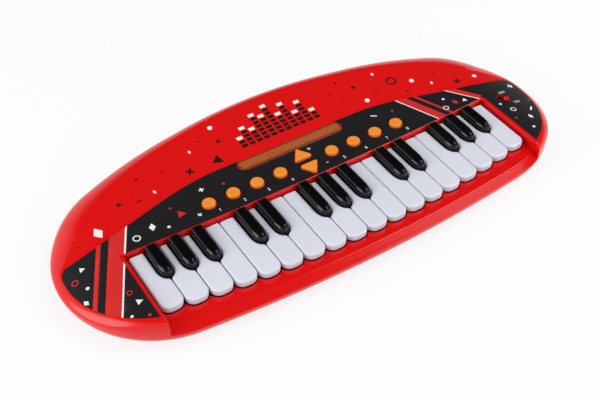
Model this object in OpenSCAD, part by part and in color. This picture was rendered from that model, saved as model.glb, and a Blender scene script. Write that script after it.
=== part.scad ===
/* [Body] */
// Length of the body over its round ends
body_length = 416; // [400:1:440]
// Depth of the body from front edge to back edge at the middle
body_depth = 184; // [178:1:192]
// Radius of the long back edge in plan
back_radius = 480; // [420:5:560]
// Radius of the long front edge in plan
front_radius = 1250; // [1100:1:1600]
// Wall thickness of both casings
wall = 2.2; // [1.8:0.1:2.6]
// Height of the joint between the two casings
parting_z = 11; // [10.6:0.1:11.4]
// Height of the feet below the lower casing
foot_height = 2; // [1.5:0.1:3]
// Radius of a foot
foot_radius = 6; // [4:0.5:8]
// Rounding along the upper rim
rim_radius = 5.5; // [4:0.1:6.5]
// Width of the rolled rim behind the hood
hood_rim = 12; // [10:0.5:14]
// Width of the rolled rim at the hood's corners
corner_rim = 22; // [18:0.5:24]
// Height of the rolled rim
hood_rim_drop = 12; // [10:0.5:13]

/* [Panel and hood] */
// Height of the flat control panel
panel_z = 25.5; // [25:0.1:26.5]
// Distance from the middle where the panel starts to droop
droop_start = 150; // [130:1:160]
// Radius of the droop along the ends
droop_radius = 155; // [140:5:200]
// Place of the crease between panel and hood at the middle
crease_y = 31.4; // [31:0.1:36]
// How far the crease swings forward at the ends
crease_swing = 24.5; // [22:0.1:32]
// Height of the step at the crease
hood_step = 1; // [0.6:0.1:1.6]
// Rise of the hood for each millimetre backward
hood_slope = 0.13; // [0.1:0.01:0.18]
// Thickness of the printed panel sheet
label_thickness = 0.3; // [0.2:0.05:0.5]
// Width of the bare red border in front of the sheet
label_border = 2.6; // [1.8:0.1:3.5]

/* [Keys] */
// Spacing of the white keys
key_pitch = 17.5; // [17:0.1:17.6]
// Offset of the key row from the middle of the body
key_row_x = 0; // [-2:0.1:2]
// Height of the white key tops
key_top_z = 22; // [21.8:0.1:22.4]
// Thickness of a white key
key_thickness = 5.5; // [5:0.1:5.8]
// Gap between neighbouring white keys
key_gap = 0.6; // [0.5:0.05:0.9]
// Rounding of a white key's front corners in plan
key_corner = 6.6; // [4:0.1:7.5]
// Place of the white key fronts at the middle of the row
white_front_y = -78.3; // [-79:0.1:-76]
// How far the fronts at the row's ends lie behind the middle ones
white_front_bow = 14; // [10:0.5:16]
// Place of the black key tips at the middle of the row
black_tip_y = -50.6; // [-55:0.1:-50]
// How far the tips at the row's ends lie behind the middle ones
black_tip_bow = 12.2; // [9:0.1:14]
// Width of a black key
black_width = 10.5; // [9.5:0.1:11]
// Height of a black key above the white ones
black_rise = 5.2; // [4:0.1:6]
// How far the sloped flanks of a black key lean in at its top
black_bevel = 1.5; // [1:0.1:2]
// Height of the sloped flanks of a black key
black_bevel_height = 2.6; // [2:0.1:3.2]
// Place of the rail behind the keys at the middle of the row
rail_y = -14.5; // [-15.5:0.1:-14]
// How far the rail's ends lie behind its middle
rail_bow = 4.5; // [3:0.1:6]
// Clearance between a key and the rail behind it
rail_clearance = 0.9; // [0.7:0.1:1.2]
// Clearance beside and before a black key in its notch
notch_clearance = 0.7; // [0.6:0.05:0.9]
// Height of the deck before the key fronts
deck_z = 16.2; // [15.8:0.1:16.4]
// Clearance between the key fronts and the deck's scalloped edge
deck_clearance = 0.8; // [0.7:0.05:0.9]
// Width of the rolled lip at the deck's front edge
deck_lip = 8; // [6:0.5:9]
// Height of the rolled lip at the deck's front edge
deck_lip_drop = 4.6; // [4:0.1:4.8]

/* [Key pivot] */
// Place of the pivot rod
pivot_y = -9.5; // [-9.8:0.1:-9]
// Height of the pivot rod
pivot_z = 16.8; // [16.6:0.1:17]
// Radius of the pivot rod
rod_radius = 1.2; // [1:0.05:1.4]
// Radial clearance of a key on the rod
rod_clearance = 0.1; // [0.05:0.01:0.1]
// Radius of a key's pivot barrel
barrel_radius = 2.8; // [2.4:0.1:2.9]
// Width of a key's tail and barrel
tail_width = 5; // [4:0.1:5.4]
// Thickness of a rib that carries the rod
rib_thickness = 2; // [1.5:0.1:2.4]

/* [Controls] */
// Offset of the buttons, the window and the crease from the middle of the body
control_x = -2.6; // [-4:0.1:2]
// Radius of a round button
button_radius = 5; // [4:0.1:5.4]
// Height of the buttons above the panel
button_rise = 2.3; // [1.8:0.1:3]
// Clearance between a button and its hole
button_clearance = 0.5; // [0.4:0.05:0.7]
// Width of the flange that keeps a button in its hole
button_flange = 1.6; // [1.2:0.1:1.8]
// Travel of every button
button_travel = 1.2; // [0.8:0.1:1.3]
// Place of the row of round buttons
button_y = 2; // [0:0.1:4]
// Distance from the middle to the first round button
button_first_x = 23; // [21:0.1:26]
// Spacing of the round buttons
button_pitch = 20.2; // [19:0.1:21]
// Half the base of a triangular button
triangle_half = 8; // [7:0.1:8.5]
// Height of a triangular button in plan
triangle_height = 12; // [10:0.1:12.5]
// Distance between the bases of the two triangular buttons
triangle_gap = 6; // [5.5:0.1:8]
// Half the length of the light window
window_half = 46.4; // [40:0.1:48]
// Width of the light window
window_width = 11.3; // [9:0.1:11.5]
// Distance from the crease to the back edge of the light window
window_margin = 0.6; // [0.4:0.1:1.5]
// Offset of the power switch from the middle of the right cheek
switch_x = -8.4; // [-10:0.1:-6]
// Place of the power switch along the body
switch_y = -17; // [-20:0.5:-14]
// Direction in which the power switch slides to off
switch_angle = -54; // [-60:1:-45]
// Travel of the power switch
switch_travel = 5; // [4:0.1:5.5]
// Width of the switch knob along its slot
knob_length = 4.4; // [4:0.1:5]
// Width of the switch knob across its slot
knob_width = 4; // [3:0.1:4.5]
// Clearance of the switch knob in its slot
knob_clearance = 0.4; // [0.3:0.05:0.6]

/* [Inside] */
// Thickness of the circuit boards
board_thickness = 1.6; // [1.2:0.1:1.8]
// Thickness of the rubber contact sheets
mat_thickness = 1; // [0.8:0.1:1.2]
// Height of the key board
key_board_z = 7; // [6.8:0.1:7.4]
// Height of the main board
main_board_z = 16; // [15.8:0.1:16.2]
// Radius of the speaker
speaker_radius = 21; // [18:0.5:21.5]
// Place of the speaker across the body
speaker_x = 128; // [124:1:132]
// Place of the speaker along the body
speaker_y = 28; // [26:0.5:29]
// Radius of a battery cell
cell_radius = 7.25; // [7:0.05:7.25]
// Length of a battery cell
cell_length = 50.5; // [48:0.1:50.5]
// Place of the battery compartment's front wall
bay_y = 40; // [39.5:0.1:40.5]
// Radius of a case screw's shank
screw_radius = 1.45; // [1.2:0.05:1.5]
// Radius of a case screw's head
screw_head = 2.8; // [2.4:0.1:3]
// Radius of a screw post
post_radius = 3.6; // [3.2:0.1:4]

/* [Hidden] */
$fn = 48;
fit = 0.05;
white_count = 18;
white_keys = [for (i = [1:white_count]) str("white_key_", i < 10 ? "0" : "", i)];
black_gaps = [1, 2, 3, 5, 6, 8, 9, 10, 12, 13, 15, 16, 17];
black_keys = [for (i = [1:len(black_gaps)]) str("black_key_", i < 10 ? "0" : "", i)];
round_buttons = [for (i = [1:8]) str("round_button_", i)];

red = "#E0140F";
black = "#1C1C1E";
white = "#E2E4EC";
orange = "#FF9B2D";
amber = "#B4551E";
steel = "#B8BABC";
board_green = "#2F6B3A";
rubber = "#4A4A4C";

half_length = body_length / 2;
floor_z = foot_height + wall;
end_angle = 89;
stations = 32;

// Plan outline: a back arc, a front arc and one corner arc that touches both and the body's end
back_centre = body_depth / 2 - back_radius;
front_centre = front_radius - body_depth / 2;
back_share = 1 / (2 * back_radius - body_length);
front_share = 1 / (2 * front_radius - body_length);
quad_a = front_share - back_share;
quad_b = 2 * (back_share * back_centre - front_share * front_centre);
quad_c = back_share * (back_radius ^ 2 - half_length ^ 2 - back_centre ^ 2)
    - front_share * (front_radius ^ 2 - half_length ^ 2 - front_centre ^ 2);
corner_y = (-quad_b - sqrt(quad_b ^ 2 - 4 * quad_a * quad_c)) / (2 * quad_a);
corner_radius = back_share * (back_radius ^ 2 - half_length ^ 2 - (corner_y - back_centre) ^ 2);
corner_x = half_length - corner_radius;
back_turn = atan2(corner_x, corner_y - back_centre);
front_turn = atan2(corner_x, front_centre - corner_y);

function station(j, inset) =
    (half_length - inset) * sin(end_angle * (2 * j / stations - 1));
function back_at(x, inset) =
    abs(x) < (back_radius - inset) * sin(back_turn)
        ? back_centre + sqrt((back_radius - inset) ^ 2 - x ^ 2)
        : corner_y + sqrt(max(0, (corner_radius - inset) ^ 2 - (abs(x) - corner_x) ^ 2));
function front_at(x, inset) =
    abs(x) < (front_radius - inset) * sin(front_turn)
        ? front_centre - sqrt((front_radius - inset) ^ 2 - x ^ 2)
        : corner_y - sqrt(max(0, (corner_radius - inset) ^ 2 - (abs(x) - corner_x) ^ 2));
function outline(inset) = concat(
    [for (j = [0:stations]) [station(j, inset), front_at(station(j, inset), inset)]],
    [for (j = [stations:-1:0]) [station(j, inset), back_at(station(j, inset), inset)]]);

// Heights of the top: a flat panel that droops at the ends and a hood that rises behind the crease
crease_flat = 61;
crease_run = half_length - crease_flat - 13;
hood_fade_start = 90;
hood_fade = 1.6;
hood_end = 0.2;
crease_bevel = 0.8;
crease_end = 0.225;
crease_end_half = 0.075;
label_gap = 0.3;
rail_border = 0.5;
function droop(x) = max(0, abs(x) - droop_start) ^ 2 / (2 * droop_radius);
function panel_at(x) = panel_z - droop(x);
function crease_at(x) = crease_y - crease_swing
    * (1 - cos(180 * min(1, max(0, abs(x - control_x) - crease_flat) / crease_run))) / 2;
function hood_share(x) = max(hood_end, 1 - hood_fade
    * (max(0, abs(x) - hood_fade_start) / (half_length - hood_fade_start)) ^ 2);
function hood_at(x, y) = panel_at(x)
    + hood_share(x) * (hood_step + hood_slope * max(0, y - crease_at(x)));

// Rows of the top surface run from the front joint line over the top to the back joint line
rim_steps = 4;
rim_land = 0.3;
rim_hold = 0.5;
rim_run = 12;
corner_run = 40;
function ease(t) = let (u = min(1, max(0, t))) u * u * (3 - 2 * u);
// Width of the rim behind the hood: narrow at the body's ends and widest at the corners
function back_rim(x) = let (u = half_length - abs(x))
    rim_radius + (corner_rim - rim_radius) * ease((u - rim_hold) / rim_run)
    - (corner_rim - hood_rim) * ease((u - corner_run) / (half_length - corner_run));
function rim_inset(k) = 1 - cos(90 * k / rim_steps);
function rim_drop(k) = 1 - sin(90 * k / rim_steps);
function crease_row(x, inset, side) =
    let (back = back_at(x, inset), span = back - front_at(x, inset))
    min(crease_at(x) + side * crease_bevel, back - (crease_end - crease_end_half * side) * span);
function block_column(j, inset, base) =
    let (
        round = rim_radius - inset,
        top = station(j, rim_radius),
        front_top = panel_at(top) - inset,
        front_round = min(round, front_top - base - rim_land),
        back_width = back_rim(station(j, 0)),
        back_x = station(j, back_width),
        back_top = hood_at(back_x, back_at(back_x, back_width)) - inset,
        back_drop = min(hood_rim_drop - inset, back_top - base - rim_land),
        low = crease_row(top, rim_radius, -1),
        high = crease_row(top, rim_radius, 1))
    concat(
        [[station(j, inset), front_at(station(j, inset), inset), base]],
        [for (k = [0:rim_steps]) let (e = inset + round * rim_inset(k), x = station(j, e))
            [x, front_at(x, e), front_top - front_round * rim_drop(k)]],
        [[top, low, front_top], [top, high, hood_at(top, crease_at(top)) - inset]],
        [for (k = [rim_steps:-1:0])
            let (e = inset + (back_width - inset) * rim_inset(k), x = station(j, e))
            [x, back_at(x, e), back_top - back_drop * rim_drop(k)]],
        [[station(j, inset), back_at(station(j, inset), inset), base]]);

// Solid bounded by the top surface, drawn in by an inset on every side and cut flat below
module casing_block(inset, base) {
    rows = 2 * rim_steps + 6;
    points = [for (j = [0:stations]) each block_column(j, inset, base)];
    sides = [for (j = [0:stations - 1], k = [0:rows - 1])
        let (a = j * rows + k, b = j * rows + (k + 1) % rows)
        each [[a, b, b + rows], [a, b + rows, a + rows]]];
    last = stations * rows;
    ends = [for (k = [0:rows / 2 - 2]) let (a = k, b = k + 1, c = rows - 2 - k, d = rows - 1 - k)
        each [[a, d, c], [a, c, b], [last + a, last + c, last + d], [last + a, last + b, last + c]]];
    polyhedron(points, concat(sides, ends), convexity = 6);
}

// Solid stacked from outlines, each given as its inset and its height
module outline_stack(levels) {
    ring = 2 * (stations + 1);
    points = [for (level = levels) each [for (p = outline(level[0])) [p[0], p[1], level[1]]]];
    top = (len(levels) - 1) * ring;
    sides = [for (l = [0:len(levels) - 2], i = [0:ring - 1])
        let (a = l * ring + i, b = l * ring + (i + 1) % ring)
        each [[a, a + ring, b + ring], [a, b + ring, b]]];
    caps = [[for (i = [0:ring - 1]) i], [for (i = [ring - 1:-1:0]) top + i]];
    polyhedron(points, concat(sides, caps), convexity = 4);
}

// Key row geometry
row_half = white_count * key_pitch / 2;
well_half = row_half + 2;
function row_bow(x, bow) = bow * ((x - key_row_x) / row_half) ^ 2;
function white_x(i) = key_row_x + (i - (white_count + 1) / 2) * key_pitch;
function gap_x(g) = white_x(g) + key_pitch / 2;
function white_front(x) = white_front_y + row_bow(x, white_front_bow);
function black_tip(x) = black_tip_y + row_bow(x, black_tip_bow);
function rail_at(x) = rail_y + row_bow(x, rail_bow);
function has_black(g) = len(search(g, black_gaps)) > 0;
function neck_left(i) = has_black(i - 1) ? neck_inner - key_pitch / 2 : key_gap / 2 - key_pitch / 2;
function neck_right(i) = has_black(i) ? key_pitch / 2 - neck_inner : key_pitch / 2 - key_gap / 2;
function neck_x(i) = white_x(i) + (neck_left(i) + neck_right(i)) / 2;
neck_inner = black_width / 2 + notch_clearance;
key_under_z = key_top_z - key_thickness;
skin = 1.8;
tail_under_z = pivot_z - 1.8;
tail_top_z = pivot_z + barrel_radius;
plunger_radius = 1.8;
plunger_z = 13;
white_plunger_y = -36;
black_plunger_y = -24;
dome_gap = 0.05;
well_depth = 60;

// Keys are drawn through these stations of the rail
rail_steps = 24;
function rail_points(shift, half) = [for (j = [0:rail_steps])
    let (x = key_row_x + half * (2 * j / rail_steps - 1)) [x, rail_at(x) + shift]];
module before_rail(shift, half) {
    polygon(concat(rail_points(shift, half),
        [[key_row_x + half, -body_depth], [key_row_x - half, -body_depth]]));
}

module stadium(half, width) {
    square([2 * half - width, width], center = true);
    for (side = [-1, 1])
        translate([side * (half - width / 2), 0]) circle(d = width);
}

// Triangle that points backward, grown by an even margin on all three sides
module triangle_plan(margin) {
    slant = sqrt(triangle_half ^ 2 + triangle_height ^ 2);
    foot = margin * (slant + triangle_half) / triangle_height;
    tip = margin * slant / triangle_half;
    polygon([[-triangle_half - foot, -margin], [triangle_half + foot, -margin],
        [0, triangle_height + tip]]);
}

module triangle_place(way) {
    translate([control_x, button_y + way * triangle_gap / 2 + 0.4]) mirror([0, way < 0 ? 1 : 0]) children();
}

function round_button_x(i) = control_x
    + (i <= 4 ? -button_first_x - (4 - i) * button_pitch : button_first_x + (i - 5) * button_pitch);
window_y = crease_y - crease_bevel - window_margin - window_width / 2;

// The cheek lies between the wall beside the keys and the body's end
cheek_middle = (key_row_x + well_half + wall + half_length) / 2;
switch_at_x = cheek_middle + switch_x;
module switch_place() {
    translate([switch_at_x, switch_y]) rotate(switch_angle) children();
}

slot_length = knob_length + switch_travel + 2 * knob_clearance;
slot_width = knob_width + 2 * knob_clearance;

// Everything that the panel is pierced for, with a margin round each hole
module control_holes(margin) {
    for (i = [1:8])
        translate([round_button_x(i), button_y]) circle(button_radius + button_clearance + margin);
    for (way = [-1, 1])
        triangle_place(way) triangle_plan(button_clearance + margin);
    translate([control_x, window_y])
        stadium(window_half + fit + margin, window_width + 2 * (fit + margin));
    switch_place() square([slot_length + 2 * margin, slot_width + 2 * margin], center = true);
}

// Screw posts and feet keep their distances from the body's ends and edges
end_post = [32, 68];
cheek_post_y = -38;
back_post = [92, 30];
front_foot = [58, 46];
back_foot = [43, 64];
post_places = [for (side = [-1, 1]) each [
    [side * (half_length - end_post[0]), body_depth / 2 - end_post[1]],
    [side * cheek_middle, cheek_post_y],
    [side * back_post[0], body_depth / 2 - back_post[1]]]];
foot_places = [for (side = [-1, 1]) each [
    [side * (half_length - front_foot[0]), front_foot[1] - body_depth / 2],
    [side * (half_length - back_foot[0]), body_depth / 2 - back_foot[1]]]];
frame_posts = [-150, -75, 0, 75, 150];
board_half = 96;
board_front = pivot_y + barrel_radius + 1.7;
board_back = bay_y - wall - 0.8;
key_board_front = -46;
key_board_back = -15;
bay_half = cell_length + 1.5;
bay_depth = 4 * cell_radius + 3.5;
cell_z = floor_z + cell_radius + 0.5;
bay_top = cell_z + cell_radius + 0.8;
cover_gap = 0.3;
tab_half = 7;
tab_depth = 8;
tab_thickness = 3.4;
cover_screw_y = bay_y - tab_depth / 2;
cover_screw_seat = foot_height + 2.2;

// Room for one key front in the deck
deck_thickness = 3.2;
lip_overrun = 0.4;
module key_scallop(i) {
    half = (key_pitch - key_gap) / 2 + deck_clearance;
    corner = key_corner + deck_clearance;
    front = white_front(white_x(i)) - deck_clearance;
    translate([white_x(i) - half, front + corner]) square([2 * half, body_depth]);
    for (side = [-1, 1])
        translate([white_x(i) + side * (half - corner), front + corner]) circle(corner);
    translate([white_x(i) - half + corner, front]) square([2 * (half - corner), corner]);
}

module upper_casing() color(red) {
    difference() {
        union() {
            difference() {
                casing_block(0, parting_z);
                casing_block(wall, parting_z - wall);
            }
            // Deck before the keys, scalloped round their fronts
            translate([0, 0, deck_z - deck_thickness]) linear_extrude(deck_thickness) difference() {
                intersection() {
                    polygon(outline(wall / 2));
                    translate([key_row_x - well_half - wall, -body_depth])
                        square([2 * (well_half + wall), body_depth - well_depth]);
                }
                for (i = [1:white_count]) key_scallop(i);
            }
            // Cheek walls beside the keys
            for (side = [-1, 1], step = [0, 1]) {
                x = key_row_x + side * (well_half + wall / 2);
                inset = step == 0 ? wall / 2 : rim_radius;
                top = panel_at(abs(x) + wall) - (step == 0 ? rim_radius : wall / 2);
                y = front_at(abs(x) + wall, inset);
                translate([x - wall / 2, y, parting_z])
                    cube([wall, pivot_y - frame_depth / 2 - 0.4 - y, top - parting_z]);
            }
            // Posts for the case screws
            for (p = post_places) {
                top = p[1] > crease_at(p[0])
                    ? hood_at(p[0], p[1] - post_radius)
                    : panel_at(abs(p[0]) + post_radius);
                translate([p[0], p[1], parting_z]) cylinder(r = post_radius, h = top - wall / 2 - parting_z);
            }
        }
        // Key opening above the deck
        translate([0, 0, deck_z]) linear_extrude(body_depth) before_rail(0, well_half);
        // Rolled lip along the deck's front edge
        difference() {
            translate([key_row_x - well_half, -body_depth, deck_z - deck_lip_drop])
                cube([2 * well_half, body_depth - well_depth, deck_lip_drop + 1]);
            outline_stack(concat([[-lip_overrun, deck_z - deck_lip_drop - 1]],
                [for (k = [0:rim_steps]) [(deck_lip + lip_overrun) * rim_inset(k) - lip_overrun,
                    deck_z - deck_lip_drop * rim_drop(k)]],
                [[deck_lip, deck_z + 2]]));
        }
        // Holes for the controls
        translate([0, 0, panel_z / 2]) linear_extrude(body_depth) control_holes(0);
        // Holes for the screw shanks
        for (p = post_places)
            translate([p[0], p[1], parting_z - 1])
                cylinder(r = screw_radius + fit, h = screw_length - floor_z);
    }
}

// Lower casing with its posts, battery compartment, speaker ring and board supports
screw_seat = foot_height + 3;
screw_length = 12;
bottom_levels = [[9, 0], [3, 2], [0.5, 6]];
sound_pitch = 5;
sound_width = 2.4;
sound_length = 26;
sound_taper = 2.4;
module lower_casing() color(red) {
    outer = concat([for (l = bottom_levels) [l[0], foot_height + l[1]]], [[0, parting_z]]);
    inner = concat([for (l = bottom_levels) [l[0] + wall, floor_z + l[1] * 0.8]], [[wall, parting_z + fit]]);
    difference() {
        union() {
            difference() {
                outline_stack(outer);
                outline_stack(inner);
            }
            for (p = post_places)
                translate([p[0], p[1], floor_z - fit])
                    cylinder(r = post_radius + 0.6, h = parting_z - floor_z + fit);
            // Battery compartment, open below
            translate([-bay_half - wall, bay_y - wall, floor_z - fit])
                cube([2 * (bay_half + wall), bay_depth + 2 * wall, bay_top - floor_z + wall]);
            // Block that takes the cover's screw
            translate([-tab_half - wall, bay_y - tab_depth - wall, floor_z - fit])
                cube([2 * (tab_half + wall), tab_depth + wall, screw_length - floor_z]);
            // Ring that seats the speaker
            translate([speaker_x, speaker_y, floor_z - fit]) difference() {
                cylinder(r = speaker_radius + wall, h = 3);
                translate([0, 0, -1]) cylinder(r = speaker_radius + fit, h = 6);
            }
            // Supports of the main board, the key board and the switch
            for (side = [-1, 1], y = [board_front + 4, board_back - 4])
                translate([side * (board_half - 4), y, floor_z - fit])
                    cylinder(r = 3, h = main_board_z - floor_z + fit);
            for (x = frame_posts, y = [key_board_front + 4, key_board_back - 4])
                translate([x, y, floor_z - fit]) cylinder(r = 3, h = key_board_z - floor_z + fit);
            for (x = frame_posts)
                translate([x, pivot_y, floor_z - fit]) cylinder(r = 2.6, h = frame_z - floor_z + fit);
            translate([0, 0, floor_z - fit]) linear_extrude(switch_base_z - floor_z + fit)
                switch_place() square([switch_length + 1, switch_width], center = true);
        }
        for (p = post_places) {
            translate([p[0], p[1], -1]) cylinder(r = screw_head + 0.4, h = screw_seat + 1);
            translate([p[0], p[1], 0]) cylinder(r = screw_radius + 0.2, h = parting_z + 1);
        }
        translate([-bay_half, bay_y, 0]) cube([2 * bay_half, bay_depth, bay_top]);
        translate([-tab_half, bay_y - tab_depth, 0])
            cube([2 * tab_half, tab_depth + 1, foot_height + tab_thickness]);
        translate([0, cover_screw_y, 0]) cylinder(r = screw_radius + fit, h = screw_length - 1);
        // Sound slots under the speaker
        for (i = [-3:3])
            translate([speaker_x + i * sound_pitch, speaker_y, (floor_z + fit) / 2])
                cube([sound_width, sound_length - abs(i) * sound_taper, floor_z + fit], center = true);
    }
}

// Printed sheet that covers the panel and both cheeks
module panel_label() color(black) {
    stretch = body_depth;
    intersection() {
        translate([0, 0, parting_z]) linear_extrude(panel_z) difference() {
            intersection() {
                polygon(outline(rim_radius));
                polygon(concat([[-half_length, -stretch]], [for (j = [0:stations])
                    let (x = station(j, rim_radius)) [x, crease_row(x, rim_radius, -1) - label_gap]],
                    [[half_length, -stretch]]));
            }
            before_rail(rail_border, well_half + label_border);
            control_holes(0.7);
        }
        label_slab();
    }
}

// Thin layer that follows the droop of the panel
module label_slab() {
    under = [for (j = [0:stations]) let (x = station(j, rim_radius)) [x, panel_at(x)]];
    over = [for (j = [stations:-1:0]) let (x = station(j, rim_radius)) [x, panel_at(x) + label_thickness]];
    translate([0, body_depth, 0]) rotate([90, 0, 0]) linear_extrude(2 * body_depth)
        polygon(concat(under, over));
}

module light_window() color(amber) translate([control_x, window_y]) {
    translate([0, 0, panel_z - wall - 1.2]) linear_extrude(1.2)
        square([2 * window_half + 3.2, window_width - 2], center = true);
    translate([0, 0, panel_z - wall - fit]) linear_extrude(wall + 0.6)
        stadium(window_half, window_width);
}

// Frame with the ribs that carry the pivot rod
frame_z = 9.6;
frame_depth = 7;
rib_gaps = [4, 7, 11, 14];
rib_end = row_half + rib_thickness / 2 + 0.9;
rib_places = concat([key_row_x - rib_end], [for (g = rib_gaps) gap_x(g)], [key_row_x + rib_end]);
module key_frame() color(black) {
    difference() {
        union() {
            translate([key_row_x - rib_end - rib_thickness, pivot_y - frame_depth / 2, frame_z])
                cube([2 * (rib_end + rib_thickness), frame_depth, 2.4]);
            for (x = rib_places)
                translate([x - rib_thickness / 2, pivot_y - frame_depth / 2, frame_z])
                    cube([rib_thickness, frame_depth, tail_top_z - frame_z]);
        }
        translate([key_row_x - body_length / 2, pivot_y, pivot_z]) rotate([0, 90, 0])
            cylinder(r = rod_radius + fit, h = body_length);
    }
}

module pivot_rod() color(steel) {
    half = rib_end + rib_thickness;
    translate([key_row_x - half, pivot_y, pivot_z]) rotate([0, 90, 0]) cylinder(r = rod_radius, h = 2 * half);
}

// Tail with its pivot barrel, from the back of a key to the rod
module key_tail(x, from) {
    translate([x - tail_width / 2, from, tail_under_z])
        cube([tail_width, pivot_y - from, tail_top_z - tail_under_z]);
    translate([x - tail_width / 2, pivot_y, pivot_z]) rotate([0, 90, 0])
        cylinder(r = barrel_radius, h = tail_width);
}

module rod_bore(x) {
    translate([x - key_pitch, pivot_y, pivot_z]) rotate([0, 90, 0])
        cylinder(r = rod_radius + rod_clearance, h = 2 * key_pitch);
}

module plunger(x, y) {
    translate([x, y, plunger_z]) cylinder(r = plunger_radius, h = key_under_z - plunger_z + 1);
}

function key_back(x) = rail_at(x) - rail_clearance;

module notch(g, margin) {
    tip = black_tip(gap_x(g)) + black_width / 2;
    translate([gap_x(g), tip]) circle(black_width / 2 + margin);
    translate([gap_x(g) - black_width / 2 - margin, tip]) square([black_width + 2 * margin, body_depth]);
}

module white_plan(i) {
    x = white_x(i);
    half = (key_pitch - key_gap) / 2;
    front = white_front(x);
    back = key_back(x);
    difference() {
        union() {
            translate([x - half, front + key_corner]) square([2 * half, back - front - key_corner]);
            translate([x - half + key_corner, front]) square([2 * (half - key_corner), key_corner + 1]);
            for (side = [-1, 1])
                translate([x + side * (half - key_corner), front + key_corner]) circle(key_corner);
        }
        for (g = [i - 1, i])
            if (has_black(g)) notch(g, notch_clearance);
    }
}

module white_key(i) color(white) {
    x = white_x(i);
    half = (key_pitch - key_gap) / 2 - skin;
    pocket_front = white_front(x) + key_corner;
    pocket_back = black_tip(x) - notch_clearance - 4;
    difference() {
        union() {
            translate([0, 0, key_under_z]) linear_extrude(key_thickness) white_plan(i);
            key_tail(neck_x(i), key_back(x) - 3);
            plunger(neck_x(i), white_plunger_y);
        }
        translate([x - half, pocket_front, key_under_z - 1])
            cube([2 * half, pocket_back - pocket_front, key_thickness - skin + 1]);
        rod_bore(neck_x(i));
    }
}

// Plan of a black key with its round tip, drawn in by an even inset
module black_plan(x, inset) {
    radius = black_width / 2;
    tip = black_tip(x) + radius;
    translate([x, tip]) circle(radius - inset);
    translate([x - radius + inset, tip]) square([2 * (radius - inset), key_back(x) - tip]);
}

// Raised key with a round tip, whose flanks lean in below its top
module black_key(k) color(black) {
    x = gap_x(black_gaps[k - 1]);
    tip = black_tip(x);
    back = key_back(x);
    radius = black_width / 2;
    flank_z = key_top_z + black_rise - black_bevel_height;
    difference() {
        union() {
            translate([0, 0, key_under_z]) linear_extrude(flank_z - key_under_z) black_plan(x, 0);
            hull() {
                translate([0, 0, flank_z - fit]) linear_extrude(fit) black_plan(x, 0);
                translate([0, 0, key_top_z + black_rise - fit]) linear_extrude(fit)
                    black_plan(x, black_bevel);
            }
            key_tail(x, back - 3);
            plunger(x, black_plunger_y);
        }
        translate([x - radius + skin, tip + radius, key_under_z - 1])
            cube([black_width - 2 * skin, black_plunger_y - 4 - tip - radius,
                key_thickness + black_rise - skin + 1]);
        rod_bore(x);
    }
}

// Rubber sheet with a dome under every key
module key_contact_mat() color(rubber) {
    base = key_board_z + board_thickness;
    translate([key_row_x - row_half, key_board_front + 2, base])
        cube([2 * row_half, key_board_back - key_board_front - 4, mat_thickness]);
    for (i = [1:white_count])
        translate([neck_x(i), white_plunger_y, base])
            cylinder(r1 = 4, r2 = 2.2, h = plunger_z - dome_gap - base);
    for (g = black_gaps)
        translate([gap_x(g), black_plunger_y, base])
            cylinder(r1 = 4, r2 = 2.2, h = plunger_z - dome_gap - base);
}

module key_board() color(board_green) {
    translate([key_row_x - row_half - 2, key_board_front, key_board_z])
        cube([2 * row_half + 4, key_board_back - key_board_front, board_thickness]);
}

// Main board with its lamps and chip
lamp_x = [-32, -16, 0, 16, 32];
chip_x = -61;
chip_shift = -2;
chip_size = [18, 12, 2];
module main_board() {
    top = main_board_z + board_thickness;
    color(board_green) translate([-board_half, board_front, main_board_z])
        cube([2 * board_half, board_back - board_front, board_thickness]);
    color(amber) for (x = lamp_x)
        translate([control_x + x, window_y, top]) cylinder(r = 2.4, h = panel_z - wall - 1.8 - top);
    color(black) translate([chip_x, window_y + chip_shift, top + chip_size[2] / 2])
        cube(chip_size, center = true);
}

// Rubber sheet with a dome under every button
button_stem_z = main_board_z + board_thickness + button_travel + 1.8;
button_stem = 2.2;
triangle_stem = 1.4;
module button_contact_mat() color(rubber) {
    top = main_board_z + board_thickness;
    height = button_stem_z - dome_gap - top;
    translate([-board_half + 2, board_front + 0.6, top]) cube([2 * board_half - 4, 12, mat_thickness]);
    for (i = [1:8])
        translate([round_button_x(i), button_y, top]) cylinder(r1 = 3.8, r2 = 2.4, h = height);
    for (way = [-1, 1])
        triangle_place(way) translate([0, triangle_stem, top]) cylinder(r1 = 3, r2 = 2.4, h = height);
}

flange_top_z = panel_z - wall - 0.4;
flange_thickness = 1;
module round_button(i) color(orange) translate([round_button_x(i), button_y]) {
    translate([0, 0, flange_top_z - flange_thickness])
        cylinder(r = button_radius + button_flange, h = flange_thickness);
    translate([0, 0, flange_top_z - fit])
        cylinder(r = button_radius, h = panel_z + button_rise - flange_top_z + fit);
    translate([0, 0, button_stem_z]) cylinder(r = button_stem, h = flange_top_z - button_stem_z - fit);
}

module triangle_button(way) color(orange) triangle_place(way) {
    translate([0, 0, flange_top_z - flange_thickness]) linear_extrude(flange_thickness)
        triangle_plan(button_flange / 2);
    translate([0, 0, flange_top_z - fit]) linear_extrude(panel_z + button_rise - flange_top_z + fit)
        triangle_plan(0);
    translate([0, triangle_stem, button_stem_z])
        cylinder(r = button_stem, h = flange_top_z - button_stem_z - fit);
}

// Power switch: a body on its support and a knob that slides in the panel's slot
switch_base_z = 7;
switch_height = 7;
switch_length = 14;
switch_width = 6;
knob_base = 1.4;
knob_rise = 1.6;
module switch_body() color(steel) {
    translate([0, 0, switch_base_z]) linear_extrude(switch_height)
        switch_place() square([switch_length, switch_width], center = true);
}

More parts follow.
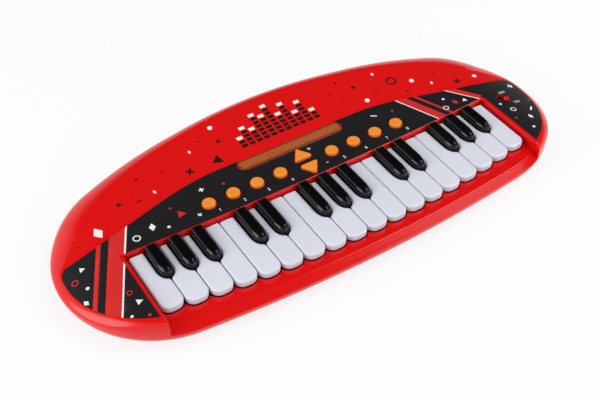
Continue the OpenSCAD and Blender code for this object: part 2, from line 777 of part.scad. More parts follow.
module power_switch_knob() color(red) {
    low = switch_base_z + switch_height + fit;
    high = panel_at(switch_at_x) + knob_rise;
    switch_place() translate([switch_travel / 2, 0]) {
        translate([0, 0, low + knob_base / 2])
            cube([knob_length + 2, switch_width, knob_base], center = true);
        translate([0, 0, (low + high) / 2]) cube([knob_length, knob_width, high - low], center = true);
    }
}

// Speaker that faces the slots in the lower casing
speaker_height = 12;
module speaker() translate([speaker_x, speaker_y, floor_z]) {
    color(black) difference() {
        cylinder(r = speaker_radius, h = 4);
        translate([0, 0, -1]) cylinder(r1 = speaker_radius - 2, r2 = speaker_radius - 9, h = 3.6);
    }
    color(steel) translate([0, 0, 4 - fit]) cylinder(r = 11, h = speaker_height - 4 + fit);
}

// Cover of the battery compartment, with tongues at the back and a screw tab at the front
module battery_cover() color(red) {
    translate([-bay_half + cover_gap, bay_y + cover_gap, foot_height])
        cube([2 * (bay_half - cover_gap), bay_depth - 2 * cover_gap, wall]);
    difference() {
        translate([-tab_half + cover_gap, bay_y - tab_depth + cover_gap, foot_height])
            cube([2 * (tab_half - cover_gap), tab_depth - cover_gap + 1, tab_thickness]);
        translate([0, cover_screw_y, 0])
            cylinder(r = screw_radius + 0.2, h = foot_height + tab_thickness + 1);
        translate([0, cover_screw_y, 0]) cylinder(r = screw_head + 0.3, h = cover_screw_seat);
    }
}

module cell() rotate([0, 90, 0]) {
    cylinder(r = cell_radius, h = cell_length - 1.4);
    translate([0, 0, cell_length - 1.4 - fit]) cylinder(r = 2.7, h = 1.4 + fit);
}

function cell_row_y(row) = bay_y + bay_depth / 2 + row * (cell_radius + 0.8);
module batteries() color("#C9A23A") {
    for (row = [-1, 1], side = [-1, 0])
        translate([side * (cell_length + 0.3) + 0.15, cell_row_y(row), cell_z])
            if (row > 0) cell();
            else translate([cell_length, 0, 0]) mirror([1, 0, 0]) cell();
}

module battery_contacts() color(steel) {
    x = cell_length + 0.5;
    for (side = [-1, 1], row = [-1, 1])
        translate([side * (x + 0.4), cell_row_y(row), cell_z]) cube([0.6, 10, 10], center = true);
    translate([x + 0.4, bay_y + bay_depth / 2, cell_z + 4]) cube([0.6, 20, 1.6], center = true);
}

module case_screw(seat, length) {
    translate([0, 0, seat - 1.8]) difference() {
        cylinder(r = screw_head, h = 1.8);
        for (turn = [0, 90])
            rotate(turn) translate([0, 0, 0.3]) cube([3.2, 0.7, 1.4], center = true);
    }
    translate([0, 0, seat - fit]) cylinder(r = screw_radius, h = length);
}

module case_screws() color(steel) {
    for (p = post_places)
        translate([p[0], p[1], 0]) case_screw(screw_seat, screw_length);
    translate([0, cover_screw_y, 0]) case_screw(cover_screw_seat, 5);
}

module rubber_feet() color(rubber) {
    for (p = foot_places)
        translate([p[0], p[1], 0]) cylinder(r = foot_radius, h = foot_height);
}

// Ribbon from the key board to the main board and leads to the speaker, switch and cells
ribbon_x = 38;
ribbon_width = 16;
ribbon_drop_y = 22;
lead = 1.6;
switch_lead = [-4.9, 6.5];
module wiring_loom() color("#8A8C90") {
    low = key_board_z - 1.2;
    translate([ribbon_x, key_board_back - 4, low])
        cube([ribbon_width, ribbon_drop_y - key_board_back + 4, 0.8]);
    translate([ribbon_x, key_board_back - 4, low]) cube([ribbon_width, 0.8, key_board_z - low]);
    translate([ribbon_x, ribbon_drop_y - 0.8, low]) cube([ribbon_width, 0.8, main_board_z - low]);
    board_top = main_board_z + board_thickness;
    translate([board_half - 6, speaker_y - 4, board_top]) cube([speaker_x - board_half + 6, lead, lead]);
    translate([speaker_x - lead / 2, speaker_y - 4, floor_z + speaker_height])
        cube([lead, lead, board_top - floor_z - speaker_height]);
    translate([board_half - 6, 8, board_top]) cube([switch_at_x - 2 - board_half + 6, lead, lead]);
    translate([switch_at_x + switch_lead[0], switch_y + switch_lead[1], switch_base_z + 2])
        cube([lead, 8 - switch_y - switch_lead[1] + lead, lead]);
    translate([switch_at_x + switch_lead[0], 8, switch_base_z + 2])
        cube([lead, lead, board_top - switch_base_z - 2 + lead]);
    translate([20, board_back - 6, board_top]) cube([lead, bay_y - wall - board_back + 6, lead]);
}

upper_casing();
lower_casing();
panel_label();
light_window();
key_frame();
pivot_rod();
key_contact_mat();
key_board();
button_contact_mat();
main_board();
wiring_loom();
switch_body();
power_switch_knob();
speaker();
battery_cover();
batteries();
battery_contacts();
case_screws();
rubber_feet();
triangle_button(1);  // up_button
triangle_button(-1);  // down_button
for (i = [1:white_count])
    white_key(i);
for (k = [1:len(black_gaps)])
    black_key(k);
for (i = [1:8])
    round_button(i);
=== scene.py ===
import math
import random

import bmesh
import bpy
from mathutils.geometry import delaunay_2d_cdt
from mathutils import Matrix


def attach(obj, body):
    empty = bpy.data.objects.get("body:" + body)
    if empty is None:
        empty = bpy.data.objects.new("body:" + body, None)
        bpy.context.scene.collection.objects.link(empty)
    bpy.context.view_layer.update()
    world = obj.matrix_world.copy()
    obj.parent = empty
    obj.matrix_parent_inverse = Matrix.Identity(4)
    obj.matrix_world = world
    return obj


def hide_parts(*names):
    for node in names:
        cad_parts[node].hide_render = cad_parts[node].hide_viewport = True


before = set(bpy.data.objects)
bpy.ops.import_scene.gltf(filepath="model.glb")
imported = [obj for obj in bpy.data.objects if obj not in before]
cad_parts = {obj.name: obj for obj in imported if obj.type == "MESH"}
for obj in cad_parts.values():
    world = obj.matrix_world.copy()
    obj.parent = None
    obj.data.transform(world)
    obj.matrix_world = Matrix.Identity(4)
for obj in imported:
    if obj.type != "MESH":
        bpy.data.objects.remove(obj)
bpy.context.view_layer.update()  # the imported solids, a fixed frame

mm = 0.001
sharpAngle, roundAngle = 32, 40  # edges that bend more stay sharp; the second is for keys and sheets
scene = bpy.context.scene
scene.view_settings.view_transform = "Standard"


# small helpers: all shapes below are in millimetres

def arc(cx, cy, radius, start, end, steps):
    angles = [math.radians(start + (end - start) * k / steps) for k in range(steps + 1)]
    return [(cx + radius * math.cos(a), cy + radius * math.sin(a)) for a in angles]


def circle(cx, cy, radius, steps):
    return arc(cx, cy, radius, 0, 360, steps)[:-1]


def roundedLoop(x0, x1, y0, y1, corner, steps=5):  # a rectangle with round corners
    places = ((x1 - corner, y0 + corner, 270), (x1 - corner, y1 - corner, 0),
              (x0 + corner, y1 - corner, 90), (x0 + corner, y0 + corner, 180))
    return [p for cx, cy, start in places for p in arc(cx, cy, corner, start, start + 90, steps)]


def turned(points, angle, cx, cy):
    c, s = math.cos(math.radians(angle)), math.sin(math.radians(angle))
    return [(cx + x * c - y * s, cy + x * s + y * c) for x, y in points]


def smoothStep(low, high, value):
    t = min(1.0, max(0.0, (value - low) / (high - low)))
    return t * t * (3 - 2 * t)


def loft(loops, wrap=False):  # skins equal loops; closes with two caps, or back on itself
    count = len(loops[0])
    verts = [p for loop in loops for p in loop]
    faces = []
    for k in range(len(loops) if wrap else len(loops) - 1):
        a, b = k * count, (k + 1) % len(loops) * count
        faces += [(a + i, a + (i + 1) % count, b + (i + 1) % count, b + i) for i in range(count)]
    if not wrap:
        faces += [tuple(range(count))[::-1], tuple(range((len(loops) - 1) * count, len(loops) * count))]
    return verts, faces


def thickened(faces, count):  # two layers with walls at open edges, and the face that each wall borders
    uses = {}
    for number, face in enumerate(faces):
        for a, b in zip(face, face[1:] + face[:1]):
            uses.setdefault((min(a, b), max(a, b)), []).append((a, b, number))
    edges = [sides[0] for sides in uses.values() if len(sides) == 1]
    under = [tuple(i + count for i in face[::-1]) for face in faces]
    walls = [(b, a, a + count, b + count) for a, b, _ in edges]
    return faces + under + walls, [number for _, _, number in edges]


def quarterTurn(steps, first=0):
    return [math.radians(90 * k / steps) for k in range(first, steps + 1)]


def roundOver(edge, top, steps, first=0):  # a quarter round as (inset, height)
    return [(edge * (1 - math.cos(a)), top - edge * (1 - math.sin(a))) for a in quarterTurn(steps, first)]


def raised(loop, z):
    return [(x, y, z) for x, y in loop]


def prism(loop, low, high):
    return loft([raised(loop, low), raised(loop, high)])


def lathe(profile, cx, cy, steps):  # profile of (radius, height)
    return loft([raised(circle(cx, cy, r, steps), z) for r, z in profile])


def post(radius, low, high, cx, cy, steps):
    return lathe([(radius, low), (radius, high)], cx, cy, steps)


def box(x0, x1, y0, y1, z0, z1):
    return prism([(x0, y0), (x1, y0), (x1, y1), (x0, y1)], z0, z1)


def roundedBox(x0, x1, y0, y1, levels, corner, least=0.05):  # levels of (inset, height)
    loops = []
    for inset, z in levels:
        loop = roundedLoop(x0 + inset, x1 - inset, y0 + inset, y1 - inset, max(least, corner - inset))
        loops.append(raised(loop, z))
    return loft(loops)


def together(parts):
    verts, faces = [], []
    for partVerts, partFaces in parts:
        base = len(verts)
        verts += partVerts
        faces += [tuple(base + i for i in face) for face in partFaces]
    return verts, faces


def finishMesh(mesh, angle=sharpAngle, merge=0.002):
    work = bmesh.new()
    work.from_mesh(mesh)
    if merge:
        bmesh.ops.remove_doubles(work, verts=work.verts, dist=merge * mm)
        bmesh.ops.dissolve_degenerate(work, edges=work.edges, dist=merge * mm)
    bmesh.ops.recalc_face_normals(work, faces=work.faces)
    work.to_mesh(mesh)
    work.free()
    mesh.shade_smooth()
    mesh.set_sharp_from_angle(angle=math.radians(angle))


def newPiece(name, verts, faces, materials):
    mesh = bpy.data.meshes.new(name)
    mesh.from_pydata([(x * mm, y * mm, z * mm) for x, y, z in verts], [], faces)
    piece = bpy.data.objects.new(name, mesh)
    scene.collection.objects.link(piece)
    for material in materials:
        mesh.materials.append(material)
    return piece


def makePiece(name, shape, materials, angle=sharpAngle):
    piece = newPiece(name, *shape, materials)
    finishMesh(piece.data, angle)
    return piece


def bakedMesh(piece):  # the evaluated result as a plain mesh
    bpy.context.view_layer.update()
    return bpy.data.meshes.new_from_object(piece.evaluated_get(bpy.context.evaluated_depsgraph_get()))


def bakeModifiers(piece):
    mesh = bakedMesh(piece)
    piece.modifiers.clear()
    piece.data = mesh


def carve(piece, shape, operation="DIFFERENCE"):
    tool = makePiece("tool", shape, [])
    change = piece.modifiers.new("carve", "BOOLEAN")
    change.operation, change.solver, change.object = operation, "EXACT", tool
    bakeModifiers(piece)
    bpy.data.objects.remove(tool)
    finishMesh(piece.data)


def hand(piece, body, slotName, *nodes):  # hangs the piece on its body, so that it moves with it, and hides the solids that it stands for
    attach(piece, body)
    if nodes:
        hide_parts(*nodes)


def handCap(name, shape, material, slotName, angle=sharpAngle):  # a moving cap, for the node of its body
    hand(makePiece(name + "_cap", shape, [material], angle), name, slotName, name)


def feed(tree, node, inputs):  # settings first; a node or a socket as value is linked
    for key, value in inputs.items():
        value = value.outputs[0] if isinstance(value, bpy.types.Node) else value
        if isinstance(value, bpy.types.NodeSocket):
            tree.links.new(value, node.inputs[key])
        elif isinstance(key, str) and hasattr(node, key):
            setattr(node, key, value)
        else:
            node.inputs[key].default_value = value
    return node


def addNode(tree, kind, inputs=None):
    return feed(tree, tree.nodes.new(kind), inputs or {})


def linear(hexColour):
    def channel(v):
        return v / 12.92 if v <= 0.04045 else ((v + 0.055) / 1.055) ** 2.4
    return [channel(int(hexColour[i:i + 2], 16) / 255) for i in (1, 3, 5)] + [1.0]


# materials: each is named for the real stuff and how its surface was made

def surface(name, colours, roughness, grain, relief, settings, patch=40.0, spread=0.04, depth=0.05):
    # colours: two near tones that drift over a patch; grain: size of the fine relief; sizes in mm
    material = bpy.data.materials.new(name)
    material.use_nodes = True
    tree = material.node_tree
    place = addNode(tree, "ShaderNodeTexCoord").outputs["Object"]
    drift = addNode(tree, "ShaderNodeTexNoise", {"Scale": 1 / (patch * mm), "Detail": 2.0, "Vector": place})
    near, far = map(linear, colours)
    tone = addNode(tree, "ShaderNodeMix", {"data_type": "RGBA", 0: drift, 6: near, 7: far}).outputs[2]
    fine = addNode(tree, "ShaderNodeTexNoise", {"Scale": 1 / (grain * mm), "Detail": 3.0, "Vector": place})
    polish = addNode(tree, "ShaderNodeMapRange", {
        "To Min": roughness - spread, "To Max": roughness + spread, "Value": fine})
    bump = addNode(tree, "ShaderNodeBump", {"Strength": relief, "Distance": depth * mm, "Height": fine})
    feed(tree, tree.nodes["Principled BSDF"], {
        **settings, "Base Color": tone, "Roughness": polish, "Normal": bump})
    return material


absIor, polycarbonateIor = 1.54, 1.58
# ABS moulded against a polished tool: deep gloss with a faint orange peel of about 1.5 mm
redAbs = surface("mouldedRedAbs", ("#DE0707", "#D80505"), 0.2, 1.5, 0.06,
                 {"IOR": absIor, "Specular IOR Level": 0.36})
# ABS moulded against a finely spark-eroded tool: satin, drawn at 0.7 mm so that it shows
whiteAbs = surface("mouldedWhiteAbs", ("#DDDFEA", "#D6D9E5"), 0.4, 0.7, 0.08, {"IOR": absIor})
# ABS in black, polished: near black with clear window reflections
blackAbs = surface("mouldedBlackAbs", ("#08080A", "#0C0C0E"), 0.1, 1.2, 0.04,
                   {"IOR": absIor, "Specular IOR Level": 0.28})
# ABS in orange, light satin
orangeAbs = surface("mouldedOrangeAbs", ("#F8932A", "#F08A22"), 0.32, 0.8, 0.06, {"IOR": absIor})
# Tinted polycarbonate lens: amber, brownish because the lamps behind it are off
amberLens = surface("mouldedAmberPolycarbonate", ("#7E3612", "#703010"), 0.28, 0.6, 0.1,
                    {"IOR": polycarbonateIor, "Coat Weight": 0.3}, patch=14.0)
# The same amber on the prisms, painted lighter: a painted highlight for the light they would catch from
# behind
amberPrismsPaintedHighlight = surface("mouldedAmberWithPaintedHighlight", ("#C0601F", "#AC5219"), 0.24, 0.6, 0.08,
                      {"IOR": polycarbonateIor}, patch=14.0)
# Screen-printed vinyl sheet under a matt lacquer: charcoal, with a soft wide sheen
blackSheet = surface("printedBlackVinyl", ("#19191B", "#1E1E20"), 0.4, 0.5, 0.12,
                     {"IOR": 1.5, "Specular IOR Level": 0.25})
redSheet = surface("printedRedVinyl", ("#DE0505", "#D60404"), 0.26, 0.9, 0.05,
                   {"IOR": 1.5, "Specular IOR Level": 0.3})
# Screen-printed inks, a little duller than the sheet round them
redInk = surface("screenInkRed", ("#D8201A", "#CE1B16"), 0.4, 0.5, 0.1, {"IOR": 1.5})
whiteInk = surface("screenInkWhite", ("#F1EFEB", "#E8E6E2"), 0.45, 0.5, 0.1, {"IOR": 1.5})
blackInk = surface("screenInkBlack", ("#2A0B0A", "#220A09"), 0.4, 0.5, 0.1, {"IOR": 1.5})
# Natural rubber, die cut: matt with a coarse grain
footRubber = surface("dieCutRubber", ("#3A3A3C", "#303032"), 0.85, 0.8, 0.4, {"IOR": 1.52})
# Zinc-plated steel: bright grey with a streaky haze
platedSteel = surface("zincPlatedSteel", ("#B9BBBE", "#A7A9AD"), 0.3, 0.6, 0.08, {"Metallic": 1.0}, patch=6.0)
# Cast silicone: soft grey, waxy
silicone = surface("castSilicone", ("#55565A", "#4B4C50"), 0.6, 1.0, 0.15, {"IOR": 1.43})
# Epoxy glass laminate under green solder resist
laminate = surface("epoxyGlassLaminate", ("#2F6B3A", "#235A2F"), 0.35, 0.8, 0.2, {"IOR": 1.55}, patch=5.0)
# PVC wire jacket, extruded
wireJacket = surface("extrudedPvc", ("#8A8C90", "#7C7E83"), 0.5, 1.2, 0.1, {"IOR": 1.53}, patch=8.0)
# Printed shrink film of a dry cell
shrinkFilm = surface("shrunkFilm", ("#C9A23A", "#B48F2F"), 0.3, 1.0, 0.05, {"IOR": 1.5}, patch=18.0)
# Nickel-plated spring steel
nickelSpring = surface("nickelSpringSteel", ("#C9C6BE", "#B9B6AE"), 0.25, 0.5, 0.05,
                       {"Metallic": 1.0}, patch=5.0)
print("materials made")


# the casing's curves, from the same sizes as the solids

# deckChamfer has (inset, drop), hoodEdge has (x, y)
shell = {
    "length": 416.0, "depth": 184.0, "backRadius": 480.0, "frontRadius": 1250.0, "wall": 2.2,
    "partingZ": 11.0, "rim": 5.5, "panelZ": 25.5, "droopStart": 150.0, "droopRadius": 155.0,
    "controlX": -2.6, "creaseY": 31.4, "creaseSwing": 24.5, "creaseFlat": 61.0, "creaseTail": 13.0,
    "creaseBevel": 0.8, "creaseEnd": 0.05, "creaseEndHalf": 0.03, "hoodStep": 0.35, "stepSpan": 40.0,
    "hoodSlope": 0.1435, "fadeStart": 90.0, "fade": 1.6, "hoodEnd": 0.2, "hoodRimDrop": 12.0,
    "hoodEdge": [(0, 79.6), (40, 77.2), (80, 70.0), (110, 61.8), (136, 51.4), (150, 43.8), (162, 36.4),
        (174, 29.0), (182, 23.4), (189, 17.4), (195, 11.6), (199, 7.4), (203, 0.0)],
    "deckZ": 16.2, "deckUnder": 13.0, "deckBack": -60.0, "deckClearance": 0.8, "deckLip": 8.4,
    "deckChamfer": [(8.4, 0.0), (6.3, 0.0), (5.8, 0.07), (5.35, 0.28), (4.9, 0.64), (3.2, 2.1),
        (1.5, 3.5), (0.5, 4.25), (0.0, 4.7)],
    "underLip": 1.8, "wallLow": 12.0, "railLow": 20.2, "railSetback": 0.4, "lip": 1.1, "rimRaise": 0.15,
    "rimLedge": 0.4, "rimFoot": 0.45, "rimFall": 0.4, "fallSpan": (150.0, 190.0), "leanSpan": (168.0, 186.0),
    "groove": 0.06, "grooveHeight": 0.15, "innerTaper": 12.0, "innerSpread": 0.2, "innerAhead": 3.0,
    "innerDeckDrop": 0.3, "innerLeastDrop": 0.5, "innerRows": (0.4, 0.8, 0.95, 1.0)}
rimInner, controlX = shell["rim"] + shell["rimLedge"], shell["controlX"]
halfLength = shell["length"] / 2
backRadius, frontRadius = shell["backRadius"], shell["frontRadius"]
backCentre, frontCentre = shell["depth"] / 2 - backRadius, frontRadius - shell["depth"] / 2


def cornerArc():  # the arc that touches the back edge, the front edge and the body's end
    backShare, frontShare = 1 / (2 * backRadius - shell["length"]), 1 / (2 * frontRadius - shell["length"])
    a = frontShare - backShare
    b = 2 * (backShare * backCentre - frontShare * frontCentre)
    c = backShare * (backRadius ** 2 - halfLength ** 2 - backCentre ** 2)
    c -= frontShare * (frontRadius ** 2 - halfLength ** 2 - frontCentre ** 2)
    y = (-b - math.sqrt(b * b - 4 * a * c)) / (2 * a)
    radius = backShare * (backRadius ** 2 - halfLength ** 2 - (y - backCentre) ** 2)
    return halfLength - radius, y, radius


cornerX, cornerY, cornerRadius = cornerArc()
backTurn = math.atan2(cornerX, cornerY - backCentre)
frontTurn = math.atan2(cornerX, frontCentre - cornerY)


def cornerReach(x, inset):
    return math.sqrt(max(0.0, (cornerRadius - inset) ** 2 - (abs(x) - cornerX) ** 2))


def backAt(x, inset):
    radius = backRadius - inset
    if abs(x) < radius * math.sin(backTurn):
        return backCentre + math.sqrt(radius ** 2 - x * x)
    return cornerY + cornerReach(x, inset)


def frontAt(x, inset):
    radius = frontRadius - inset
    if abs(x) < radius * math.sin(frontTurn):
        return frontCentre - math.sqrt(radius ** 2 - x * x)
    return cornerY - cornerReach(x, inset)


def acrossBody(reach, steps):  # places along x, closer together at the ends
    return [-reach * math.cos(math.pi * k / steps) for k in range(steps + 1)]


def outline(inset, steps=160):  # closed plan loop, counter-clockwise from the left end
    xs = acrossBody(halfLength - inset, steps)
    return [(x, frontAt(x, inset)) for x in xs] + [(x, backAt(x, inset)) for x in xs[-2:0:-1]]


def panelAt(x):
    return shell["panelZ"] - max(0.0, abs(x) - shell["droopStart"]) ** 2 / (2 * shell["droopRadius"])


def alongCurve(points, x):  # a smooth curve through points that run along x
    k = max(n for n in range(len(points) - 1) if n == 0 or points[n][0] <= x)
    (x0, y0), (x1, y1) = points[k], points[k + 1]
    before = points[k - 1] if k else (-points[1][0], points[1][1])
    after = points[k + 2] if k + 2 < len(points) else points[k + 1]
    run = x1 - x0
    t = (x - x0) / run
    leave = (y1 - before[1]) / (x1 - before[0]) * run
    arrive = (after[1] - y0) / (after[0] - x0) * run
    leaving = y0 * (1 + 2 * t) * (1 - t) ** 2 + leave * t * (1 - t) ** 2
    return leaving + y1 * t * t * (3 - 2 * t) - arrive * t * t * (1 - t)


def hoodBack(x):  # where the hood meets its rim
    return min(alongCurve(shell["hoodEdge"], abs(x)), backAt(x, rimInner))


def rimStart(x):  # inset of the rim's inner edge on this column
    y = hoodBack(x)
    if math.atan2(abs(x), y - backCentre) < backTurn:
        return backRadius - math.hypot(x, y - backCentre)
    return cornerRadius - math.hypot(abs(x) - cornerX, y - cornerY)


def creaseAt(x):
    run = halfLength - shell["creaseFlat"] - shell["creaseTail"]
    share = min(1.0, max(0.0, abs(x - controlX) - shell["creaseFlat"]) / run)
    return shell["creaseY"] - shell["creaseSwing"] * (1 - math.cos(math.pi * share)) / 2


def creaseRow(x, side):  # front and back edges of the crease
    back = hoodBack(x)
    span = back - frontAt(x, rimInner)
    return min(creaseAt(x) + side * shell["creaseBevel"],
               back - (shell["creaseEnd"] - shell["creaseEndHalf"] * side) * span)


def hoodShare(x):
    out = max(0.0, abs(x) - shell["fadeStart"]) / (halfLength - shell["fadeStart"])
    return max(shell["hoodEnd"], 1 - shell["fade"] * out ** 2)


keyRow = {
    "x": 0.0, "pitch": 17.5, "count": 18, "gap": 0.6, "endGap": 2.0, "topZ": 22.0, "thickness": 5.5,
    "corner": 6.6, "front": -78.3, "frontBow": 14.0, "tip": -50.6, "tipBow": 12.2, "rail": -14.5,
    "railBow": 4.5, "railClearance": 0.9, "notchClearance": 0.7, "shoulder": 2.4, "tipDraw": 1.5,
    "backCorner": 1.5, "edge": 1.6, "draft": 0.12, "chamfer": 0.3, "blackWidth": 10.5, "blackRise": 5.2,
    "pivotY": -9.5, "pivotZ": 16.8, "barrel": 2.8, "bore": 1.3, "tailWidth": 5.0, "tailLow": 15.0,
    "tailHigh": 19.6, "tailOverlap": 3.0, "armGap": 1.6, "plunger": 1.8, "plungerZ": 13.0,
    "plungerOverlap": 1.0, "whitePlungerY": -36.0, "blackPlungerY": -24.0, "leastCorner": 0.1}
blackGaps = [1, 2, 3, 5, 6, 8, 9, 10, 12, 13, 15, 16, 17]
halfPitch, blackHalf = keyRow["pitch"] / 2, keyRow["blackWidth"] / 2
keyHalf, notchHalf = (keyRow["pitch"] - keyRow["gap"]) / 2, blackHalf + keyRow["notchClearance"]
rowHalf = keyRow["count"] * keyRow["pitch"] / 2
wellHalf = rowHalf + keyRow["endGap"]
wellLeft, wellRight = keyRow["x"] - wellHalf, keyRow["x"] + wellHalf


def rowBow(x, bow):
    return bow * ((x - keyRow["x"]) / rowHalf) ** 2


def railAt(x):
    return keyRow["rail"] + rowBow(x, keyRow["railBow"])


def whiteX(i):
    return keyRow["x"] + (i - (keyRow["count"] + 1) / 2) * keyRow["pitch"]


def whiteFront(x):
    return keyRow["front"] + rowBow(x, keyRow["frontBow"])


def deckEdge(x):  # back edge of the deck, scalloped round the key fronts
    half = keyHalf + shell["deckClearance"]
    corner = keyRow["corner"] + shell["deckClearance"]
    edge = shell["deckBack"]
    for i in range(1, keyRow["count"] + 1):
        side = abs(x - whiteX(i))
        if side < half:
            bend = corner - math.sqrt(corner ** 2 - max(0.0, side - half + corner) ** 2)
            edge = min(edge, whiteFront(whiteX(i)) - shell["deckClearance"] + bend)
    return edge


def topAt(x, y):  # the casing's top: panel, crease and hood, rounded down towards the key opening
    low, high = creaseRow(x, -1), creaseRow(x, 1)
    z = panelAt(x)
    if y > low:
        span = hoodBack(x) - frontAt(x, rimInner)
        step = shell["hoodStep"] * min(1.0, span / shell["stepSpan"])
        z += hoodShare(x) * (step * smoothStep(low, max(high, low + 0.01), y)
                             + shell["hoodSlope"] * max(0.0, y - high))
    beside = max(wellLeft - x, x - wellRight, 0.0)
    gap = math.hypot(beside, max(0.0, y - railAt(min(max(x, wellLeft), wellRight))))
    lip = shell["lip"]
    if gap < lip:
        z -= lip - math.sqrt(max(0.0, lip ** 2 - (lip - gap) ** 2))
    return z


# upper casing: a grid of columns and rows, a rim swept round it, and an inner copy of both

lipShares = (0.0, 0.08, 0.3, 0.62, 1.0)  # closer together where the lip is steep
# the rows where the key opening starts and ends, then the cells of what lies behind it
gridRows = {"deckBack": 4, "railFoot": 12, "panel": 8, "crease": 4, "hood": 12}


def endColumns(edge, steps=30, apart=1.0):  # the lip, then even steps along the corner arc to the body's end
    reach = cornerRadius - rimInner
    start = math.asin((abs(edge) - cornerX) / reach)
    xs = [cornerX + reach * math.sin(start + (math.pi / 2 - start) * k / steps) for k in range(steps + 1)]
    lips = [abs(edge) + shell["lip"] * t for t in lipShares]
    return lips + [x for x in xs if x > lips[-1] + apart]


def deckColumns():  # closer together where the scallops bend
    shares = (-1.0, -0.94, -0.85, -0.71, -0.5, -0.21, 0.21, 0.5, 0.71, 0.85, 0.94)
    xs = [whiteX(i) + share * halfPitch for i in range(1, keyRow["count"] + 1) for share in shares]
    # past the last key, close together where the deck's edge steps back
    ends = [rowHalf + step for step in (0.0, 0.3, 0.48, 0.52)] + [wellHalf]
    return [keyRow["x"] - x for x in ends[:0:-1]] + xs + [keyRow["x"] + x for x in ends]


def casingColumns():
    left = [(-x, "cheek") for x in endColumns(wellLeft)][::-1]
    right = [(x, "cheek") for x in endColumns(wellRight)]
    return left + [(x, "deck") for x in deckColumns()] + right


def evenly(low, high, cells):  # leaves out the last point
    return [low + (high - low) * k / cells for k in range(cells)]


def frontRows(x, front):  # rows from the front edge to the crease
    rail, lip, deckBack = railAt(x), shell["lip"], deckEdge(x)
    foot = rail - shell["railSetback"]
    ys = evenly(front, deckBack, gridRows["deckBack"])
    ys += evenly(deckBack, foot, gridRows["railFoot"] - gridRows["deckBack"]) + [foot]
    ys += [rail + lip * t for t in lipShares[:-1]]
    return ys + evenly(rail + lip, creaseRow(x, -1), gridRows["panel"])


def columnRows(x, kind, inset):
    front, back = frontAt(x, inset), hoodBack(x)
    low, high = creaseRow(x, -1), creaseRow(x, 1)
    if kind == "deck":
        ys = frontRows(x, front)
    else:  # keeps the rows' shares at the opening's edge
        edge = wellLeft if x < 0 else wellRight
        edgeFront = frontAt(edge, rimInner)
        ys = [front + (low - front) * (y - edgeFront) / (creaseRow(edge, -1) - edgeFront)
              for y in frontRows(edge, edgeFront)]
    return ys + evenly(low, high, gridRows["crease"]) + evenly(high, back, gridRows["hood"]) + [back]


def innerShift(x):  # the inner copy stands one wall back from the opening
    beside = max(wellLeft - x, x - wellRight)
    if beside < -0.01:
        return 0.0
    return shell["wall"] * max(0.0, 1 - beside / shell["innerTaper"]) * (-1 if x < 0 else 1)


def gridColumn(x, kind, inner):
    wall, deck, railFoot = shell["wall"], kind == "deck", gridRows["railFoot"]
    inset = shell["deckLip"] if deck else rimInner
    if inner:
        x += innerShift(x)
        inset = wall + shell["underLip"] if deck else inset
    ys = columnRows(x, kind, inset)
    points = []
    for row, y in enumerate(ys):
        if deck and row <= gridRows["deckBack"]:
            z = shell["deckUnder"] if inner else shell["deckZ"]
        elif deck and row < railFoot:
            z = shell["wallLow"]
        elif deck and row == railFoot:
            y, z = y + shell["railSetback"], shell["railLow"]
        else:
            z = topAt(x, y)
        if inner and row >= railFoot:
            if deck:
                spread = wall + shell["innerSpread"] * (row - railFoot - 1)
                y += spread * max(0.0, 1 - (y - railAt(x)) / shell["innerTaper"])
            if row >= len(ys) - gridRows["hood"]:
                z = topAt(x, y) - wall
            elif not (deck and row == railFoot):
                z = max(topAt(x, y + shell["innerAhead"]), panelAt(x)) - wall
        elif inner and not deck:
            z = panelAt(x) - wall
        points.append((x, y, z))
    return points


def rimPoint(x, side, inset, start):  # a point of the outline drawn in by inset, beside a boundary point
    radius = backRadius if side > 0 else frontRadius
    turn = backTurn if side > 0 else frontTurn
    if abs(x) < (radius - start) * math.sin(turn):
        lean = x / (radius - start)
    else:
        lean = math.copysign((abs(x) - cornerX) / (cornerRadius - start), x)
    if side < 0:
        lean *= smoothStep(*shell["leanSpan"], abs(x))
    x += (start - inset) * lean
    return x, (backAt if side > 0 else frontAt)(x, inset)


def rimRows(point, side, kind, inner):  # from the top's edge over the rim down to the joint line
    x, _, z = point
    wall, low = shell["wall"], shell["partingZ"]
    deck = kind == "deck" and side < 0
    if deck:
        start, ledge = wall + shell["underLip"] if inner else shell["deckLip"], 0.0
    else:
        start, ledge = rimStart(x) if side > 0 else rimInner, shell["rimLedge"]
    rim = start - ledge
    top = z + (0.0 if deck or inner else shell["rimRaise"])
    drop = min(shell["hoodRimDrop"] if side > 0 else rim, top - low - shell["rimFoot"])
    innerDrop = shell["innerDeckDrop"] if deck else max(shell["innerLeastDrop"], drop - wall)
    fall = shell["rimFall"] * smoothStep(*shell["fallSpan"], abs(x))  # the rim slopes sooner at the ends
    rows = []
    for turn in quarterTurn(8):
        inward, over = 1 - math.sin(turn), 1 - math.cos(turn)
        if inner:
            rows.append((wall + (rim - wall) * inward, z - innerDrop * over))
        else:
            rows.append((rim * inward, top - drop * ((1 - fall) * over + fall * math.sin(turn))))
    if deck and not inner:
        rows = [(inset, z - fallen) for inset, fallen in shell["deckChamfer"]]
    foot = rows[-1][1]
    if inner:
        rows += [(wall, foot + (low - foot) * t) for t in shell["innerRows"]]
    else:
        groove, high = shell["groove"], shell["grooveHeight"]
        mouth = low + 2 * high
        rows += [(0.0, (foot + mouth) / 2), (0.0, mouth), (groove, low + high), (groove, low)]
    return [rimPoint(x, side, inset, start) + (height,) for inset, height in rows]


